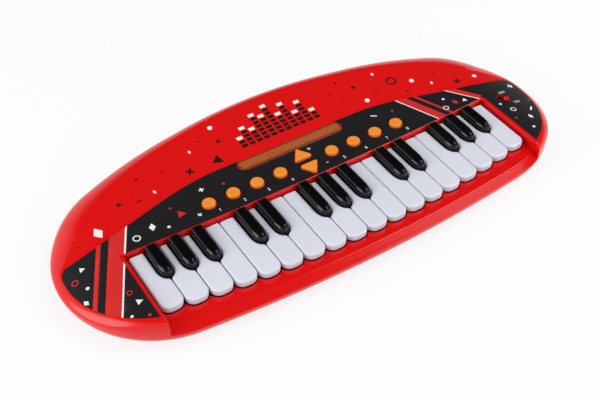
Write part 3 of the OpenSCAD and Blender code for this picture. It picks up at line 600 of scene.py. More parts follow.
def upperCasing():
    columns = casingColumns()
    verts, grids, rims = [], [], []
    for inner in (False, True):
        grid = []
        for x, kind in columns:
            column = gridColumn(x, kind, inner)
            grid.append(list(range(len(verts), len(verts) + len(column))))
            verts += column
        ring = [(c, 0, -1) for c in range(len(columns))]
        ring += [(c, len(grid[0]) - 1, 1) for c in range(len(columns) - 2, 0, -1)]
        rim = []
        for c, row, side in ring:
            rows = rimRows(verts[grid[c][row]], side, columns[c][1], inner)
            rim.append([grid[c][row]] + list(range(len(verts), len(verts) + len(rows))))
            verts += rows
        grids.append(grid)
        rims.append(rim)
    outer, count = [], len(verts) // 2
    grid, rim = grids[0], rims[0]
    for c in range(len(columns) - 1):
        isOpen = columns[c][1] == "deck" and columns[c + 1][1] == "deck"
        for r in range(len(grid[0]) - 1):
            if not (isOpen and gridRows["deckBack"] <= r < gridRows["railFoot"]):
                outer.append((grid[c][r], grid[c + 1][r], grid[c + 1][r + 1], grid[c][r + 1]))
    for c in range(len(rim)):
        following = rim[(c + 1) % len(rim)]
        outer += [(rim[c][k], rim[c][k + 1], following[k + 1], following[k]) for k in range(len(rim[c]) - 1)]
    return verts, thickened(outer, count)[0]


controls = {
    "buttonRadius": 5.0, "buttonClearance": 0.5, "buttonY": 2.0, "firstX": 23.0, "pitch": 20.2, "topZ": 27.8,
    "triangleHalf": 8.0, "triangleHeight": 12.0, "triangleGap": 6.0, "triangleShift": 0.4, "corner": 1.3,
    "windowHalf": 46.4, "windowWidth": 11.3, "windowMargin": 0.6, "labelMargin": 0.45, "fit": 0.05,
    "flangeZ": 22.9, "flangeThickness": 1.0, "flange": 1.6, "triangleFlange": 0.8, "stemZ": 20.6,
    "stem": 2.2, "triangleStem": 1.4, "triangleStemTop": 22.0, "switchX": 176.45, "switchY": -17.0,
    "switchAngle": -54.0, "travel": 5.0, "knobLength": 4.4, "knobWidth": 4.0, "knobClearance": 0.4,
    "slotCorner": 0.9, "knobRise": 1.6, "knobLow": 14.05, "holes": (12.5, 40.0)}
windowRadius = controls["windowWidth"] / 2
windowReach = controls["windowHalf"] - windowRadius
windowY = shell["creaseY"] - shell["creaseBevel"] - controls["windowMargin"] - windowRadius
buttonX = [controlX + side * (controls["firstX"] + k * controls["pitch"])
           for side, ks in ((-1, (3, 2, 1, 0)), (1, (0, 1, 2, 3))) for k in ks]


def stadium(grow):
    radius = windowRadius + grow
    right = arc(controlX + windowReach, windowY, radius, -90, 90, 24)
    return right + arc(controlX - windowReach, windowY, radius, 90, 270, 24)


def triangleBase(way):  # 1 points back, -1 points forward
    return controls["buttonY"] + way * controls["triangleGap"] / 2 + controls["triangleShift"]


def triangle(way, grow):  # a triangle with round corners, grown evenly
    half, height, corner = controls["triangleHalf"], controls["triangleHeight"], controls["corner"]
    slant = math.hypot(half, height)
    foot, tip = corner * (slant + half) / height, corner * slant / half
    lean = math.degrees(math.atan2(half, height))
    points = arc(foot - half, corner, corner + grow, 180 - lean, 270, 8)
    points += arc(half - foot, corner, corner + grow, 270, 360 + lean, 8)
    points += arc(0.0, height - tip, corner + grow, lean, 180 - lean, 8)
    return [(controlX + x, triangleBase(way) + way * y) for x, y in points][::way]


def onSwitch(points):  # from the switch's middle to its place and angle
    return turned(points, controls["switchAngle"], controls["switchX"], controls["switchY"])


def switchSlot(grow):
    long = (controls["knobLength"] + controls["travel"]) / 2 + controls["knobClearance"] + grow
    wide = controls["knobWidth"] / 2 + controls["knobClearance"] + grow
    return onSwitch(roundedLoop(-long, long, -wide, wide, controls["slotCorner"] + grow))


def controlHoles(grow):
    clearance = controls["buttonClearance"] + grow
    holes = [circle(x, controls["buttonY"], controls["buttonRadius"] + clearance, 48) for x in buttonX]
    holes += [triangle(way, clearance) for way in (1, -1)]
    return holes + [stadium(controls["fit"] + grow), switchSlot(grow)]


upper = makePiece("upper_shell", upperCasing(), [redAbs])
carve(upper, together([prism(loop, *controls["holes"]) for loop in controlHoles(0)]))
hand(upper, "case", "red_abs", "upper_casing")
print("upper casing made")


# lower casing: a tray with posts, counterbores, sound slots and the battery bay

# the profile has (inset, height) up to the joint's groove
tray = {
    "profile": [(9.0, 2.0), (7.0, 2.1), (5.4, 2.45), (4.0, 3.1), (2.8, 4.1), (1.75, 5.5), (0.95, 7.2),
        (0.35, 9.0), (0.05, 10.2), (0.0, 10.65)],
    "innerScale": 0.8, "innerLow": 2.6, "postRadius": 4.2, "blockLow": 3.5, "postTop": 10.98,
    "headRecess": 3.2, "recessLead": 0.25, "leadZ": (2.0, 2.3), "seatZ": 5.0, "screwZ": 3.2,
    "posts": [(sx * x, y) for sx in (-1, 1) for x, y in ((176.0, 24.0), (184.85, -38.0), (92.0, 62.0))],
    "feet": [(sx * x, y) for sx in (-1, 1) for x, y in ((150.0, -46.0), (165.0, 28.0))], "bayHalf": 52.0,
    "bayY": 40.0, "bayDepth": 32.5, "bayTop": 20.0, "tabHalf": 7.0, "tabDepth": 8.0, "tabZ": 5.4,
    "tabBlock": (3.4, 12.0), "overlap": 1.0, "coverScrewY": 36.0, "speaker": (128.0, 28.0), "slotPitch": 5.0,
    "slotWidth": 2.4, "slotLength": 26.0, "slotTaper": 2.4, "slotCut": (0.0, 6.0), "slotsAside": 3}


def roundBar(cx, cy, width, length, z0, z1, steps=8):  # a bar along y with round ends
    reach, radius = length / 2 - width / 2, width / 2
    loop = arc(cx, cy + reach, radius, 0, 180, steps) + arc(cx, cy - reach, radius, 180, 360, steps)
    return prism(loop, z0, z1)


def lowerCasing():
    wall, joint = shell["wall"], shell["partingZ"]
    groove = [(shell["groove"], joint - shell["grooveHeight"]), (shell["groove"], joint)]
    outerLoops = [raised(outline(inset), z) for inset, z in tray["profile"] + groove]
    innerLoops = [raised(outline(inset + wall), z * tray["innerScale"] + tray["innerLow"])
                  for inset, z in tray["profile"][:-1]]
    return loft(outerLoops + [raised(outline(wall), joint)] + innerLoops[::-1])


def bayBox(half, front, back, grow, low, high):  # a box across the middle, grown at its ends and front
    return box(-half - grow, half + grow, front - grow, back, low, high)


lower = makePiece("lower_tray", lowerCasing(), [redAbs])
wall, bayBack, tabFront = shell["wall"], tray["bayY"] + tray["bayDepth"], tray["bayY"] - tray["tabDepth"]
posts = [post(tray["postRadius"], tray["blockLow"], tray["postTop"], x, y, 32) for x, y in tray["posts"]]
bayBlock = tray["blockLow"], tray["bayTop"] + wall
blocks = [together(posts), bayBox(tray["bayHalf"], tray["bayY"], bayBack + wall, wall, *bayBlock),
          bayBox(tray["tabHalf"], tabFront, tray["bayY"] - tray["overlap"], wall, *tray["tabBlock"])]
for block in blocks:
    carve(lower, block, "UNION")
recess, lead = tray["headRecess"], tray["headRecess"] + tray["recessLead"]
leadLow, leadHigh = tray["leadZ"]
counterbore = [(lead, -1), (lead, leadLow), (recess, leadHigh), (recess, tray["seatZ"])]
cuts = [lathe(counterbore, x, y, 32) for x, y in tray["posts"]]
speakerX, speakerY = tray["speaker"]
cuts += [roundBar(speakerX + k * tray["slotPitch"], speakerY, tray["slotWidth"],
                  tray["slotLength"] - abs(k) * tray["slotTaper"], *tray["slotCut"])
         for k in range(-tray["slotsAside"], tray["slotsAside"] + 1)]
carve(lower, together(cuts))
carve(lower, bayBox(tray["bayHalf"], tray["bayY"], bayBack, 0, 0, tray["bayTop"]))
carve(lower, bayBox(tray["tabHalf"], tabFront, tray["bayY"] + tray["overlap"], 0, 0, tray["tabZ"]))
hand(lower, "case", "red_abs", "lower_casing")
print("lower casing made")


# repeated fittings, by node trees that put one shape on each place

def nodeTree(name, sizes):  # takes places, sizes in mm and a finish
    tree = bpy.data.node_groups.new(name, "GeometryNodeTree")
    kinds = {"Places": "Geometry", **dict.fromkeys(sizes, "Float"), "Finish": "Material"}
    for label, kind in kinds.items():
        socket = tree.interface.new_socket(name=label, in_out="INPUT", socket_type="NodeSocket" + kind)
        if label in sizes:
            socket.default_value = sizes[label] * mm
    tree.interface.new_socket(name="Fittings", in_out="OUTPUT", socket_type="NodeSocketGeometry")
    return tree, addNode(tree, "NodeGroupInput").outputs


def closeTree(tree, given, geometry):  # copies on the places, made real, with their finish
    copies = addNode(tree, "GeometryNodeInstanceOnPoints", {"Points": given["Places"], "Instance": geometry})
    real = addNode(tree, "GeometryNodeRealizeInstances", {"Geometry": copies})
    done = addNode(tree, "GeometryNodeSetMaterial", {"Geometry": real, "Material": given["Finish"]})
    addNode(tree, "NodeGroupOutput", {0: done})
    return tree


def reckon(tree, operation, a, b):
    return addNode(tree, "ShaderNodeMath", {"operation": operation, 0: a, 1: b})


def lifted(tree, geometry, height):
    rise = addNode(tree, "ShaderNodeCombineXYZ", {"Z": height})
    return addNode(tree, "GeometryNodeTransform", {"Geometry": geometry, "Translation": rise})


def joined(tree, parts):
    whole = addNode(tree, "GeometryNodeJoinGeometry")
    for part in parts:
        feed(tree, whole, {0: part})
    return whole


def fitCopies(name, tree, places, finish, sizes=None):
    piece = newPiece(name, places, [], [])
    change = piece.modifiers.new("fittings", "NODES")
    change.node_group = tree
    values = {"Finish": finish, **{label: size * mm for label, size in (sizes or {}).items()}}
    for item in tree.interface.items_tree:
        if item.in_out == "INPUT" and item.name in values:
            change[item.identifier] = values[item.name]
    bakeModifiers(piece)
    finishMesh(piece.data)
    return piece


def screwTree():  # a pan head with a cross recess, seen from below, and its shank
    tree, given = nodeTree("crossHeadScrews", {
        "Head Radius": 2.8, "Head Height": 1.8, "Shank Radius": 1.4, "Shank Length": 12.0,
        "Recess Width": 0.75})
    radius, height, length = given["Head Radius"], given["Head Height"], given["Shank Length"]
    head = addNode(tree, "GeometryNodeMeshCone", {
        "Vertices": 32, "Side Segments": 3, "Radius Top": radius, "Radius Bottom": radius, "Depth": height})
    shank = addNode(tree, "GeometryNodeMeshCylinder", {
        "Vertices": 20, "Radius": given["Shank Radius"], "Depth": length})
    shank = lifted(tree, shank, reckon(tree, "ADD", reckon(tree, "MULTIPLY", length, 0.5), height))
    recessReach, recessSink = 1.2, -0.2  # shares of the head's radius and height
    reach = reckon(tree, "MULTIPLY", radius, recessReach)
    bars = []
    for along, across in ("XY", "YX"):
        sides = {along: reach, across: given["Recess Width"], "Z": height}
        size = addNode(tree, "ShaderNodeCombineXYZ", sides)
        bars.append(addNode(tree, "GeometryNodeMeshCube", {"Size": size}))
    cross = lifted(tree, joined(tree, bars), reckon(tree, "MULTIPLY", height, recessSink))
    cutHead = addNode(tree, "GeometryNodeMeshBoolean", {
        "operation": "DIFFERENCE", "solver": "EXACT", "Self Intersection": True,
        "Mesh 1": head, "Mesh 2": cross})
    return closeTree(tree, given, joined(tree, [cutHead, shank]))


def footTree():  # a disc with a broken lower edge
    tree, given = nodeTree("rubberFeet", {"Radius": 6.0, "Height": 2.0, "Edge": 0.4})
    radius, height, edge = given["Radius"], given["Height"], given["Edge"]
    small = reckon(tree, "SUBTRACT", radius, edge)

    def ring(low, high, depth):
        return addNode(tree, "GeometryNodeMeshCone", {
            "Vertices": 40, "fill_type": "NONE", "Radius Bottom": low, "Radius Top": high, "Depth": depth})

    def disc(size):
        return addNode(tree, "GeometryNodeMeshCircle", {"Vertices": 40, "fill_type": "NGON", "Radius": size})

    side = lifted(tree, ring(radius, radius, reckon(tree, "SUBTRACT", height, edge)), edge)
    parts = [ring(small, radius, edge), disc(small), side, lifted(tree, disc(radius), height)]
    return closeTree(tree, given, joined(tree, parts))


def prismTree():  # low pyramids that scatter the lamps' light
    tree, given = nodeTree("lensPrisms", {"Pitch": 1.7, "Height": 0.35})
    reach = reckon(tree, "MULTIPLY", given["Pitch"], 0.48)  # neighbours just stay apart
    return closeTree(tree, given, addNode(tree, "GeometryNodeMeshCone", {
        "Vertices": 4, "Radius Top": 0.0, "Radius Bottom": reach, "Depth": given["Height"]}))


def ribTree():  # short grip ribs
    tree, given = nodeTree("gripRibs", {"Length": 14.0, "Radius": 0.55})
    bar = addNode(tree, "GeometryNodeMeshCylinder", {
        "Vertices": 16, "Radius": given["Radius"], "Depth": given["Length"]})
    return closeTree(tree, given, addNode(tree, "GeometryNodeTransform", {
        "Rotation": (0.0, math.radians(90), 0.0), "Geometry": bar}))


cover = {
    "gap": 0.3, "low": 2.0, "high": 4.2, "corner": 1.6, "edge": 0.35, "tabHigh": 5.4, "tabCorner": 1.2,
    "tabOverlap": 2.0, "head": 3.1, "hole": 1.65, "holeTop": 8.0, "screwZ": 2.4, "screwLength": 5.0,
    "ribY": 48.0, "ribPitch": 2.4, "ribLift": 0.35, "ribs": 5}
screws, screwPlaces = screwTree(), [(x, y, tray["screwZ"]) for x, y in tray["posts"]]
caseScrews = fitCopies("case_screws_set", screws, screwPlaces, platedSteel)
hand(caseScrews, "case", "steel", "case_screws")
coverScrew = fitCopies("cover_screw", screws, [(0.0, tray["coverScrewY"], cover["screwZ"])], platedSteel,
                       {"Shank Length": cover["screwLength"]})
hand(coverScrew, "case", "steel")
feet = fitCopies("rubber_feet_set", footTree(), [(x, y, 0.0) for x, y in tray["feet"]], footRubber)
hand(feet, "case", "foot_rubber", "rubber_feet")


def hatchPlate(half, front, back, high, corner):  # with its clearance and a broken lower edge
    gap, low, edge = cover["gap"], cover["low"], cover["edge"]
    levels = [(edge, low), (0.0, low + edge), (0.0, high)]
    return roundedBox(gap - half, half - gap, front + gap, back, levels, corner)


hatch = hatchPlate(tray["bayHalf"], tray["bayY"], bayBack - cover["gap"], cover["high"], cover["corner"])
batteryCover = makePiece("battery_hatch", hatch, [redAbs])
tabBack = tray["bayY"] + cover["tabOverlap"]
tab = hatchPlate(tray["tabHalf"], tabFront, tabBack, cover["tabHigh"], cover["tabCorner"])
carve(batteryCover, tab, "UNION")
head, hole, seat = cover["head"], cover["hole"], cover["high"]
screwCut = [(head, 0), (head, seat), (hole, seat), (hole, cover["holeTop"])]
carve(batteryCover, lathe(screwCut, 0, tray["coverScrewY"], 32))
hand(batteryCover, "case", "red_abs", "battery_cover")
ribZ = cover["low"] + cover["ribLift"]
ribPlaces = [(0.0, cover["ribY"] + cover["ribPitch"] * k, ribZ) for k in range(cover["ribs"])]
ribs = fitCopies("hatch_ribs", ribTree(), ribPlaces, redAbs)
hand(ribs, "case", "red_abs")
print("underside fittings made")


# keys

def gapX(g):
    return whiteX(g) + halfPitch


def blackTip(x):
    return keyRow["tip"] + rowBow(x, keyRow["tipBow"])


def keyBack(x):
    return railAt(x) - keyRow["railClearance"]


def whiteSide(g, half, inset, back):  # the right-hand side from front corner to back corner
    corner = max(keyRow["leastCorner"], keyRow["backCorner"] - inset)
    side, points = half, []
    if g in blackGaps:
        tip, notch = blackTip(gapX(g)), notchHalf + inset
        notchY = tip + blackHalf
        soft = keyRow["shoulder"] - inset
        softY = notchY - math.sqrt((notch + soft) ** 2 - (half - soft - halfPitch) ** 2)
        turn = math.degrees(math.atan2(notchY - softY, halfPitch - half + soft))
        bend = arc(half - soft, softY, soft, 0, turn, 7) + arc(halfPitch, notchY, notch, turn + 180, 180, 12)
        points += [(px, tip + (py - tip) * keyRow["tipDraw"]) for px, py in bend]
        side = halfPitch - notch
    return points + arc(side - corner, back - corner, corner, 0, 90, 5)


def whiteLoop(i, inset, z):
    x = whiteX(i)
    half = keyHalf - inset
    front, back, corner = whiteFront(x) + inset, keyBack(x) - inset, keyRow["corner"] - inset
    right = whiteSide(i, half, inset, back)
    left = [(-px, py) for px, py in whiteSide(i - 1, half, inset, back)][::-1]
    loop = arc(corner - half, front + corner, corner, 180, 270, 10)
    loop += arc(half - corner, front + corner, corner, 270, 360, 10)
    return [(x + px, py, z) for px, py in loop + right + left]


def whiteLevels():  # rounded top edge and a small lower chamfer: (inset, height)
    draft, chamfer, edge, high = keyRow["draft"], keyRow["chamfer"], keyRow["edge"], keyRow["topZ"]
    levels = [(draft + chamfer, underZ), (draft, underZ + chamfer), (0.0, high - edge)]
    return levels + roundOver(edge, high, 7, 1) + [(edge + chamfer, high)]


def keyShape(loops, back, tailX, plungerY):  # cap, plunger, and arm and pivot barrel under the panel
    y, left, right = keyRow["pivotY"], tailX - keyRow["tailWidth"] / 2, tailX + keyRow["tailWidth"] / 2
    arm = box(left, right, back - keyRow["tailOverlap"], y - keyRow["armGap"],
              keyRow["tailLow"], keyRow["tailHigh"])
    rings = [[(x, py, pz) for py, pz in circle(y, keyRow["pivotZ"], keyRow[size], 32)]
             for x, size in ((left, "barrel"), (right, "barrel"), (right, "bore"), (left, "bore"))]
    plungerTop = underZ + keyRow["plungerOverlap"]
    plunger = post(keyRow["plunger"], keyRow["plungerZ"], plungerTop, tailX, plungerY, 20)
    return together([loft(loops), arm, loft(rings, wrap=True), plunger])


def neckX(i):  # middle of what the black keys beside it leave
    right, left = [halfPitch - (notchHalf if g in blackGaps else keyRow["gap"] / 2) for g in (i, i - 1)]
    return whiteX(i) + (right - left) / 2


underZ = keyRow["topZ"] - keyRow["thickness"]
for i in range(1, keyRow["count"] + 1):
    loops = [whiteLoop(i, inset, z) for inset, z in whiteLevels()]
    shape = keyShape(loops, keyBack(whiteX(i)), neckX(i), keyRow["whitePlungerY"])
    handCap(f"white_key_{i:02d}", shape, whiteAbs, "white_abs", roundAngle)

blackKey = {
    "low": 16.5, "chamfer": (0.25, 0.4), "roundStart": 23.2, "roundWidth": 3.0, "topFlat": 0.3,
    "backCorner": 0.6, "backShare": 0.15, "tipLean": 0.25, "tipStretch": 0.6}


def blackLevels():  # straight to the white keys' top, then an oval round
    low, start, width = blackKey["low"], blackKey["roundStart"], blackKey["roundWidth"]
    inset, rise = blackKey["chamfer"]
    top = keyRow["topZ"] + keyRow["blackRise"]
    levels = [(inset, low), (0.0, low + rise), (0.0, keyRow["topZ"])]
    levels += [(width * (1 - math.cos(a)), start + (top - start) * math.sin(a)) for a in quarterTurn(10)]
    return levels + [(width + blackKey["topFlat"], top)]


def blackLoop(x, inset, z):
    half = blackHalf - inset
    above = max(0.0, z - keyRow["topZ"])
    stretch = blackKey["tipStretch"] * above  # the tip is drawn out more towards the top
    draw = keyRow["tipDraw"]
    centre = blackTip(x) + draw * blackHalf + blackKey["tipLean"] * above + stretch
    back = keyBack(x) - blackKey["backShare"] * inset
    corner = max(keyRow["leastCorner"], blackKey["backCorner"] - blackKey["backShare"] * inset)
    loop = [(px, centre + py * (draw + stretch / half)) for px, py in arc(0, 0, half, 180, 360, 32)]
    loop += arc(half - corner, back - corner, corner, 0, 90, 4)
    return [(x + px, py, z) for px, py in loop + arc(corner - half, back - corner, corner, 90, 180, 4)]


for k, g in enumerate(blackGaps, 1):
    x = gapX(g)
    loops = [blackLoop(x, inset, z) for inset, z in blackLevels()]
    shape = keyShape(loops, keyBack(x), x, keyRow["blackPlungerY"])
    handCap(f"black_key_{k:02d}", shape, blackAbs, "black_abs", roundAngle)
print("keys made")


# buttons, lens and switch knob

buttonCap = {"edge": 0.9, "dish": 0.12, "dishRings": [(0.3, 0.0), (0.9, 0.7), (2.0, 1.0)], "topFlat": 0.3}


def roundButton(x):
    radius, top, edge, stem = controls["buttonRadius"], controls["topZ"], buttonCap["edge"], controls["stem"]
    high, flange = controls["flangeZ"], radius + controls["flange"]
    low = high - controls["flangeThickness"]
    profile = [(stem, controls["stemZ"]), (stem, low), (flange, low), (flange, high), (radius, high)]
    profile += [(radius - inset, z) for inset, z in roundOver(edge, top, 7)]
    profile += [(radius - edge - inset, top - buttonCap["dish"] * share)
                for inset, share in buttonCap["dishRings"]]
    return lathe(profile, x, controls["buttonY"], 64)


def triangleButton(way):
    edge, top = buttonCap["edge"], controls["topZ"]
    high, flange = controls["flangeZ"], controls["triangleFlange"]
    levels = [(flange, high - controls["flangeThickness"]), (flange, high), (0.0, high)]
    levels += [(-inset, z) for inset, z in roundOver(edge, top, 7)] + [(-edge - buttonCap["topFlat"], top)]
    stem = post(controls["stem"], controls["stemZ"], controls["triangleStemTop"],
                controlX, triangleBase(way) + way * controls["triangleStem"], 24)
    return together([loft([raised(triangle(way, grow), z) for grow, z in levels]), stem])


for k, x in enumerate(buttonX, 1):
    handCap(f"round_button_{k}", roundButton(x), orangeAbs, "orange_abs")
for name, way in (("up_button", 1), ("down_button", -1)):
    handCap(name, triangleButton(way), orangeAbs, "orange_abs")

lens = {
    "low": 23.25, "topZ": 25.75, "edge": 0.5, "topFlat": 0.2, "flangeHalf": 48.0, "flangeWide": 4.65,
    "flangeZ": (22.1, 23.3), "prismPitch": 2.2, "prismHeight": 0.4, "prismMargin": 1.5, "prismSink": 0.02}


def lensShape():
    half, wide, edge = lens["flangeHalf"], lens["flangeWide"], lens["edge"]
    levels = [(0.0, lens["low"]), (0.0, lens["topZ"] - edge)]
    levels += [(-inset, z) for inset, z in roundOver(edge, lens["topZ"], 5, 1)]
    levels.append((-edge - lens["topFlat"], lens["topZ"]))
    flange = box(controlX - half, controlX + half, windowY - wide, windowY + wide, *lens["flangeZ"])
    return together([loft([raised(stadium(grow), z) for grow, z in levels]), flange])


hand(makePiece("lamp_lens", lensShape(), [amberLens]), "case", "amber_lens", "light_window")


def lensPlaces(columns=60, rows=8):  # a diagonal grid, as far as the lens reaches
    limit = windowRadius - lens["prismMargin"]
    step, z = lens["prismPitch"] / 2, lens["topZ"] - lens["prismSink"]
    grid = [(a * step, b * step) for a in range(-columns, columns + 1)
            for b in range(-rows, rows + 1) if (a + b) % 2 == 0]
    return [(controlX + x, windowY + y, z) for x, y in grid
            if math.hypot(max(0.0, abs(x) - windowReach), y) < limit]


# the prisms carry the lens's amber with a painted highlight
prisms = fitCopies("lens_prisms", prismTree(), lensPlaces(), amberPrismsPaintedHighlight,
                   {"Pitch": lens["prismPitch"], "Height": lens["prismHeight"]})
hand(prisms, "case", "amber_lens")

knob = {
    "corner": 1.7, "edge": 0.7, "stemLow": 1.2, "plateGrow": 1.0, "plateHalf": 3.0, "plateHigh": 1.4,
    "plateCorner": 0.6, "ribHeight": 0.35, "ribWidth": 0.8, "ribPitch": 1.3, "ribCorner": 0.35,
    "ribEnds": (0.35, 0.1, 0.35), "ribLevels": [(0.0, -0.2), (0.0, 0.15), (0.12, 0.3), (0.3, 0.35)]}


def knobShape():
    long, wide = controls["knobLength"] / 2, controls["knobWidth"] / 2
    low, top = controls["knobLow"], panelAt(controls["switchX"]) + controls["knobRise"] - knob["ribHeight"]
    plateLong, plateHalf = long + knob["plateGrow"], knob["plateHalf"]
    plateLevels = [(0, low), (0, low + knob["plateHigh"])]
    parts = [roundedBox(-plateLong, plateLong, -plateHalf, plateHalf, plateLevels, knob["plateCorner"])]
    levels = [(0.0, low + knob["stemLow"])] + roundOver(knob["edge"], top, 6)
    parts.append(roundedBox(-long, long, -wide, wide, levels, knob["corner"]))
    ribLevels = [(inset, top + rise) for inset, rise in knob["ribLevels"]]
    for k, end in zip((-1, 0, 1), knob["ribEnds"]):
        x, half, reach = k * knob["ribPitch"], knob["ribWidth"] / 2, wide - knob["edge"] - end
        parts.append(roundedBox(x - half, x + half, -reach, reach, ribLevels, knob["ribCorner"]))
    verts, faces = together(parts)
    places = onSwitch([(x + controls["travel"] / 2, y) for x, y, _ in verts])
    return [(x, y, v[2]) for (x, y), v in zip(places, verts)], faces


hand(makePiece("switch_knob_cap", knobShape(), [redAbs]), "power_switch_knob", "red_abs", "power_switch_knob")
print("controls made")


# printed sheets: one flat plan with its print as faces, laid on the casing's top

def printedSheet(name, keep, leaveOut, prints, heightAt, sheet, materials, stretch=1.5, closeness=1e-5):
    # prints: (loop, material number); a face takes the last print that covers it
    points, loopFaces = [], []
    for loop in [keep] + leaveOut + [loop for loop, _ in prints]:
        loopFaces.append(list(range(len(points), len(points) + len(loop))))
        points += loop
    (x, right), (front, back) = [(min(values), max(values)) for values in zip(*keep)]
    while x < right:  # inner points, so that the sheet bends with the casing
        y = front
        while y < back:
            points.append((x, y))
            y += sheet["step"] * stretch
        x += sheet["step"]
    flat, _, faces, _, _, sources = delaunay_2d_cdt(points, [], loopFaces, 0, closeness, True)
    kept, tones = [], []
    for face, source in zip(faces, sources):
        if 0 in source and not any(1 <= number <= len(leaveOut) for number in source):
            kept.append(face)
            shown = max(source) - 1 - len(leaveOut)
            tones.append(prints[shown][1] if shown >= 0 else 0)
    used = sorted({i for face in kept for i in face})
    number = {i: k for k, i in enumerate(used)}
    ground = [(flat[i][0], flat[i][1], heightAt(*flat[i])) for i in used]
    verts = [(x, y, z + sheet[layer]) for layer in ("high", "low") for x, y, z in ground]
    layers, rim = thickened([tuple(number[i] for i in face) for face in kept], len(used))
    piece = newPiece(name, verts, layers, materials)
    piece.data.polygons.foreach_set("material_index", tones + [0] * len(tones) + [tones[k] for k in rim])
    finishMesh(piece.data, roundAngle, 0)
    return piece


def band(start, end, width, shift=0.0):  # a straight band, moved sideways by shift
    dx, dy = end[0] - start[0], end[1] - start[1]
    size = math.hypot(dx, dy)
    near, far = shift - width / 2, shift + width / 2
    sides = [(start, near), (end, near), (end, far), (start, far)]
    return [(x - dy / size * off, y + dx / size * off) for (x, y), off in sides]


def motif(kind, x, y, size, turn):  # in shares of size: loops to print and loops to leave bare
    if kind == "dot":
        return [circle(x, y, size / 2, 20)], []
    if kind == "ring":
        return [circle(x, y, size / 2, 24)], [circle(x, y, size / 2 - size * 0.16, 24)]
    arm, half = size / 2, size * 0.14
    loops = {"diamond": [(0, -size * 0.62), (size * 0.4, 0), (0, size * 0.62), (-size * 0.4, 0)],
             "triangle": [(-arm, -size * 0.32), (arm, -size * 0.32), (0, size * 0.56)],
             "bar": [(-arm, -size * 0.13), (arm, -size * 0.13), (arm, size * 0.13), (-arm, size * 0.13)],
             "plus": [(arm, -half), (arm, half), (half, half), (half, arm), (-half, arm), (-half, half),
                      (-arm, half), (-arm, -half), (-half, -half), (-half, -arm), (half, -arm),
                      (half, -half)]}
    return [turned(loops[kind], turn, x, y)], []


def addMotif(prints, kind, x, y, size, turn, tone):
    shown, bare = motif(kind, x, y, size, turn)
    prints += [(loop, tone) for loop in shown] + [(loop, 0) for loop in bare]


labelSheet = {
    "inset": 5.98, "border": 2.6, "railBorder": 0.9, "creaseGap": 0.3, "low": 0.02, "high": 0.3, "step": 3.0,
    "farX": 260.0, "farBack": 220.0, "farFront": -180.0}
# kind, x, y, size, turn, tone (1 red, 2 white)
labelMotifs = [
    ("ring", -196, -10, 5.0, 0, 1), ("dot", -191, -20, 2.6, 0, 2), ("diamond", -196.5, -30, 4.4, 20, 2),
    ("triangle", -188, -3, 4.4, 15, 2), ("dot", -177, -60, 2.2, 0, 2), ("triangle", -168, -52, 5.0, 25, 2),
    ("dot", -167, -66, 2.4, 0, 1), ("ring", -170, -42, 4.0, 0, 1), ("ring", -145, -1, 6.0, 0, 2),
    ("diamond", -131, 3, 6.2, -15, 2), ("dot", -121, -3, 2.4, 0, 2), ("triangle", -108, 4, 7.0, 10, 1),
    ("plus", -97, -4, 3.4, 20, 2), ("dot", -112, 13, 2.0, 0, 1), ("plus", -84, 18, 4.2, 0, 2),
    ("dot", -67, 15, 2.2, 0, 1), ("bar", 72, 19, 5.0, -30, 2), ("dot", 88, 16, 2.2, 0, 1),
    ("dot", 132, 6, 2.4, 0, 2), ("diamond", 138, -2, 5.4, 25, 1), ("ring", 127, -4, 5.0, 0, 2),
    ("triangle", 146, -4, 4.2, -20, 2), ("plus", 196, -4, 5.4, 10, 2), ("dot", 168, -23, 2.4, 0, 2),
    ("ring", 173, -33, 5.0, 0, 2), ("bar", 189, -37, 6.0, 40, 2), ("dot", 167, -43, 2.2, 0, 1),
    ("diamond", 180, -46, 4.8, 10, 2), ("plus", 191, -50, 4.6, 25, 1), ("dot", 172, -58, 2.6, 0, 2),
    ("triangle", 182, -60, 4.6, 15, 1), ("dot", 197, -26, 2.2, 0, 1)]
# red bands: start, end, width, white edge and the side that it is on
labelStripes = [
    ((-148.9, 22), (-194, -66), 11.0, 1.3, 1), ((-162.9, 22), (-206, -62), 3.2, 0, 1),
    ((100.5, 30), (119, -14), 7.0, 1.0, -1), ((110.5, 30), (129, -14), 2.2, 0, -1),
    ((139.3, 20), (160, -8), 5.0, 0.9, -1)]


def labelPrints():
    prints = []
    for start, end, width, edge, side in labelStripes:
        prints.append((band(start, end, width), 1))
        if edge:
            prints.append((band(start, end, edge, side * (width + edge) / 2), 2))
    for item in labelMotifs:
        addMotif(prints, *item)
    return prints


def behindCrease():  # everything behind a line before the crease
    xs = acrossBody(halfLength - rimInner, 120)
    edge = [(x, creaseRow(x, -1) - labelSheet["creaseGap"]) for x in xs]
    return edge + [(labelSheet["farX"], labelSheet["farBack"]), (-labelSheet["farX"], labelSheet["farBack"])]


def beforeRail(steps=24):  # the key opening with its borders
    half, front = wellHalf + labelSheet["border"], labelSheet["farFront"]
    xs = [keyRow["x"] + half * (1 - k / steps) for k in range(2 * steps + 1)]
    back = [(x, railAt(x) + labelSheet["railBorder"]) for x in xs]
    return back + [(keyRow["x"] - half, front), (keyRow["x"] + half, front)]


label = printedSheet("panel_sheet", outline(labelSheet["inset"], 120),
                     [behindCrease(), beforeRail()] + controlHoles(controls["labelMargin"]), labelPrints(),
                     lambda x, y: panelAt(x), labelSheet, [blackSheet, redInk, whiteInk])
hand(label, "case", "printed_sheet", "panel_label")

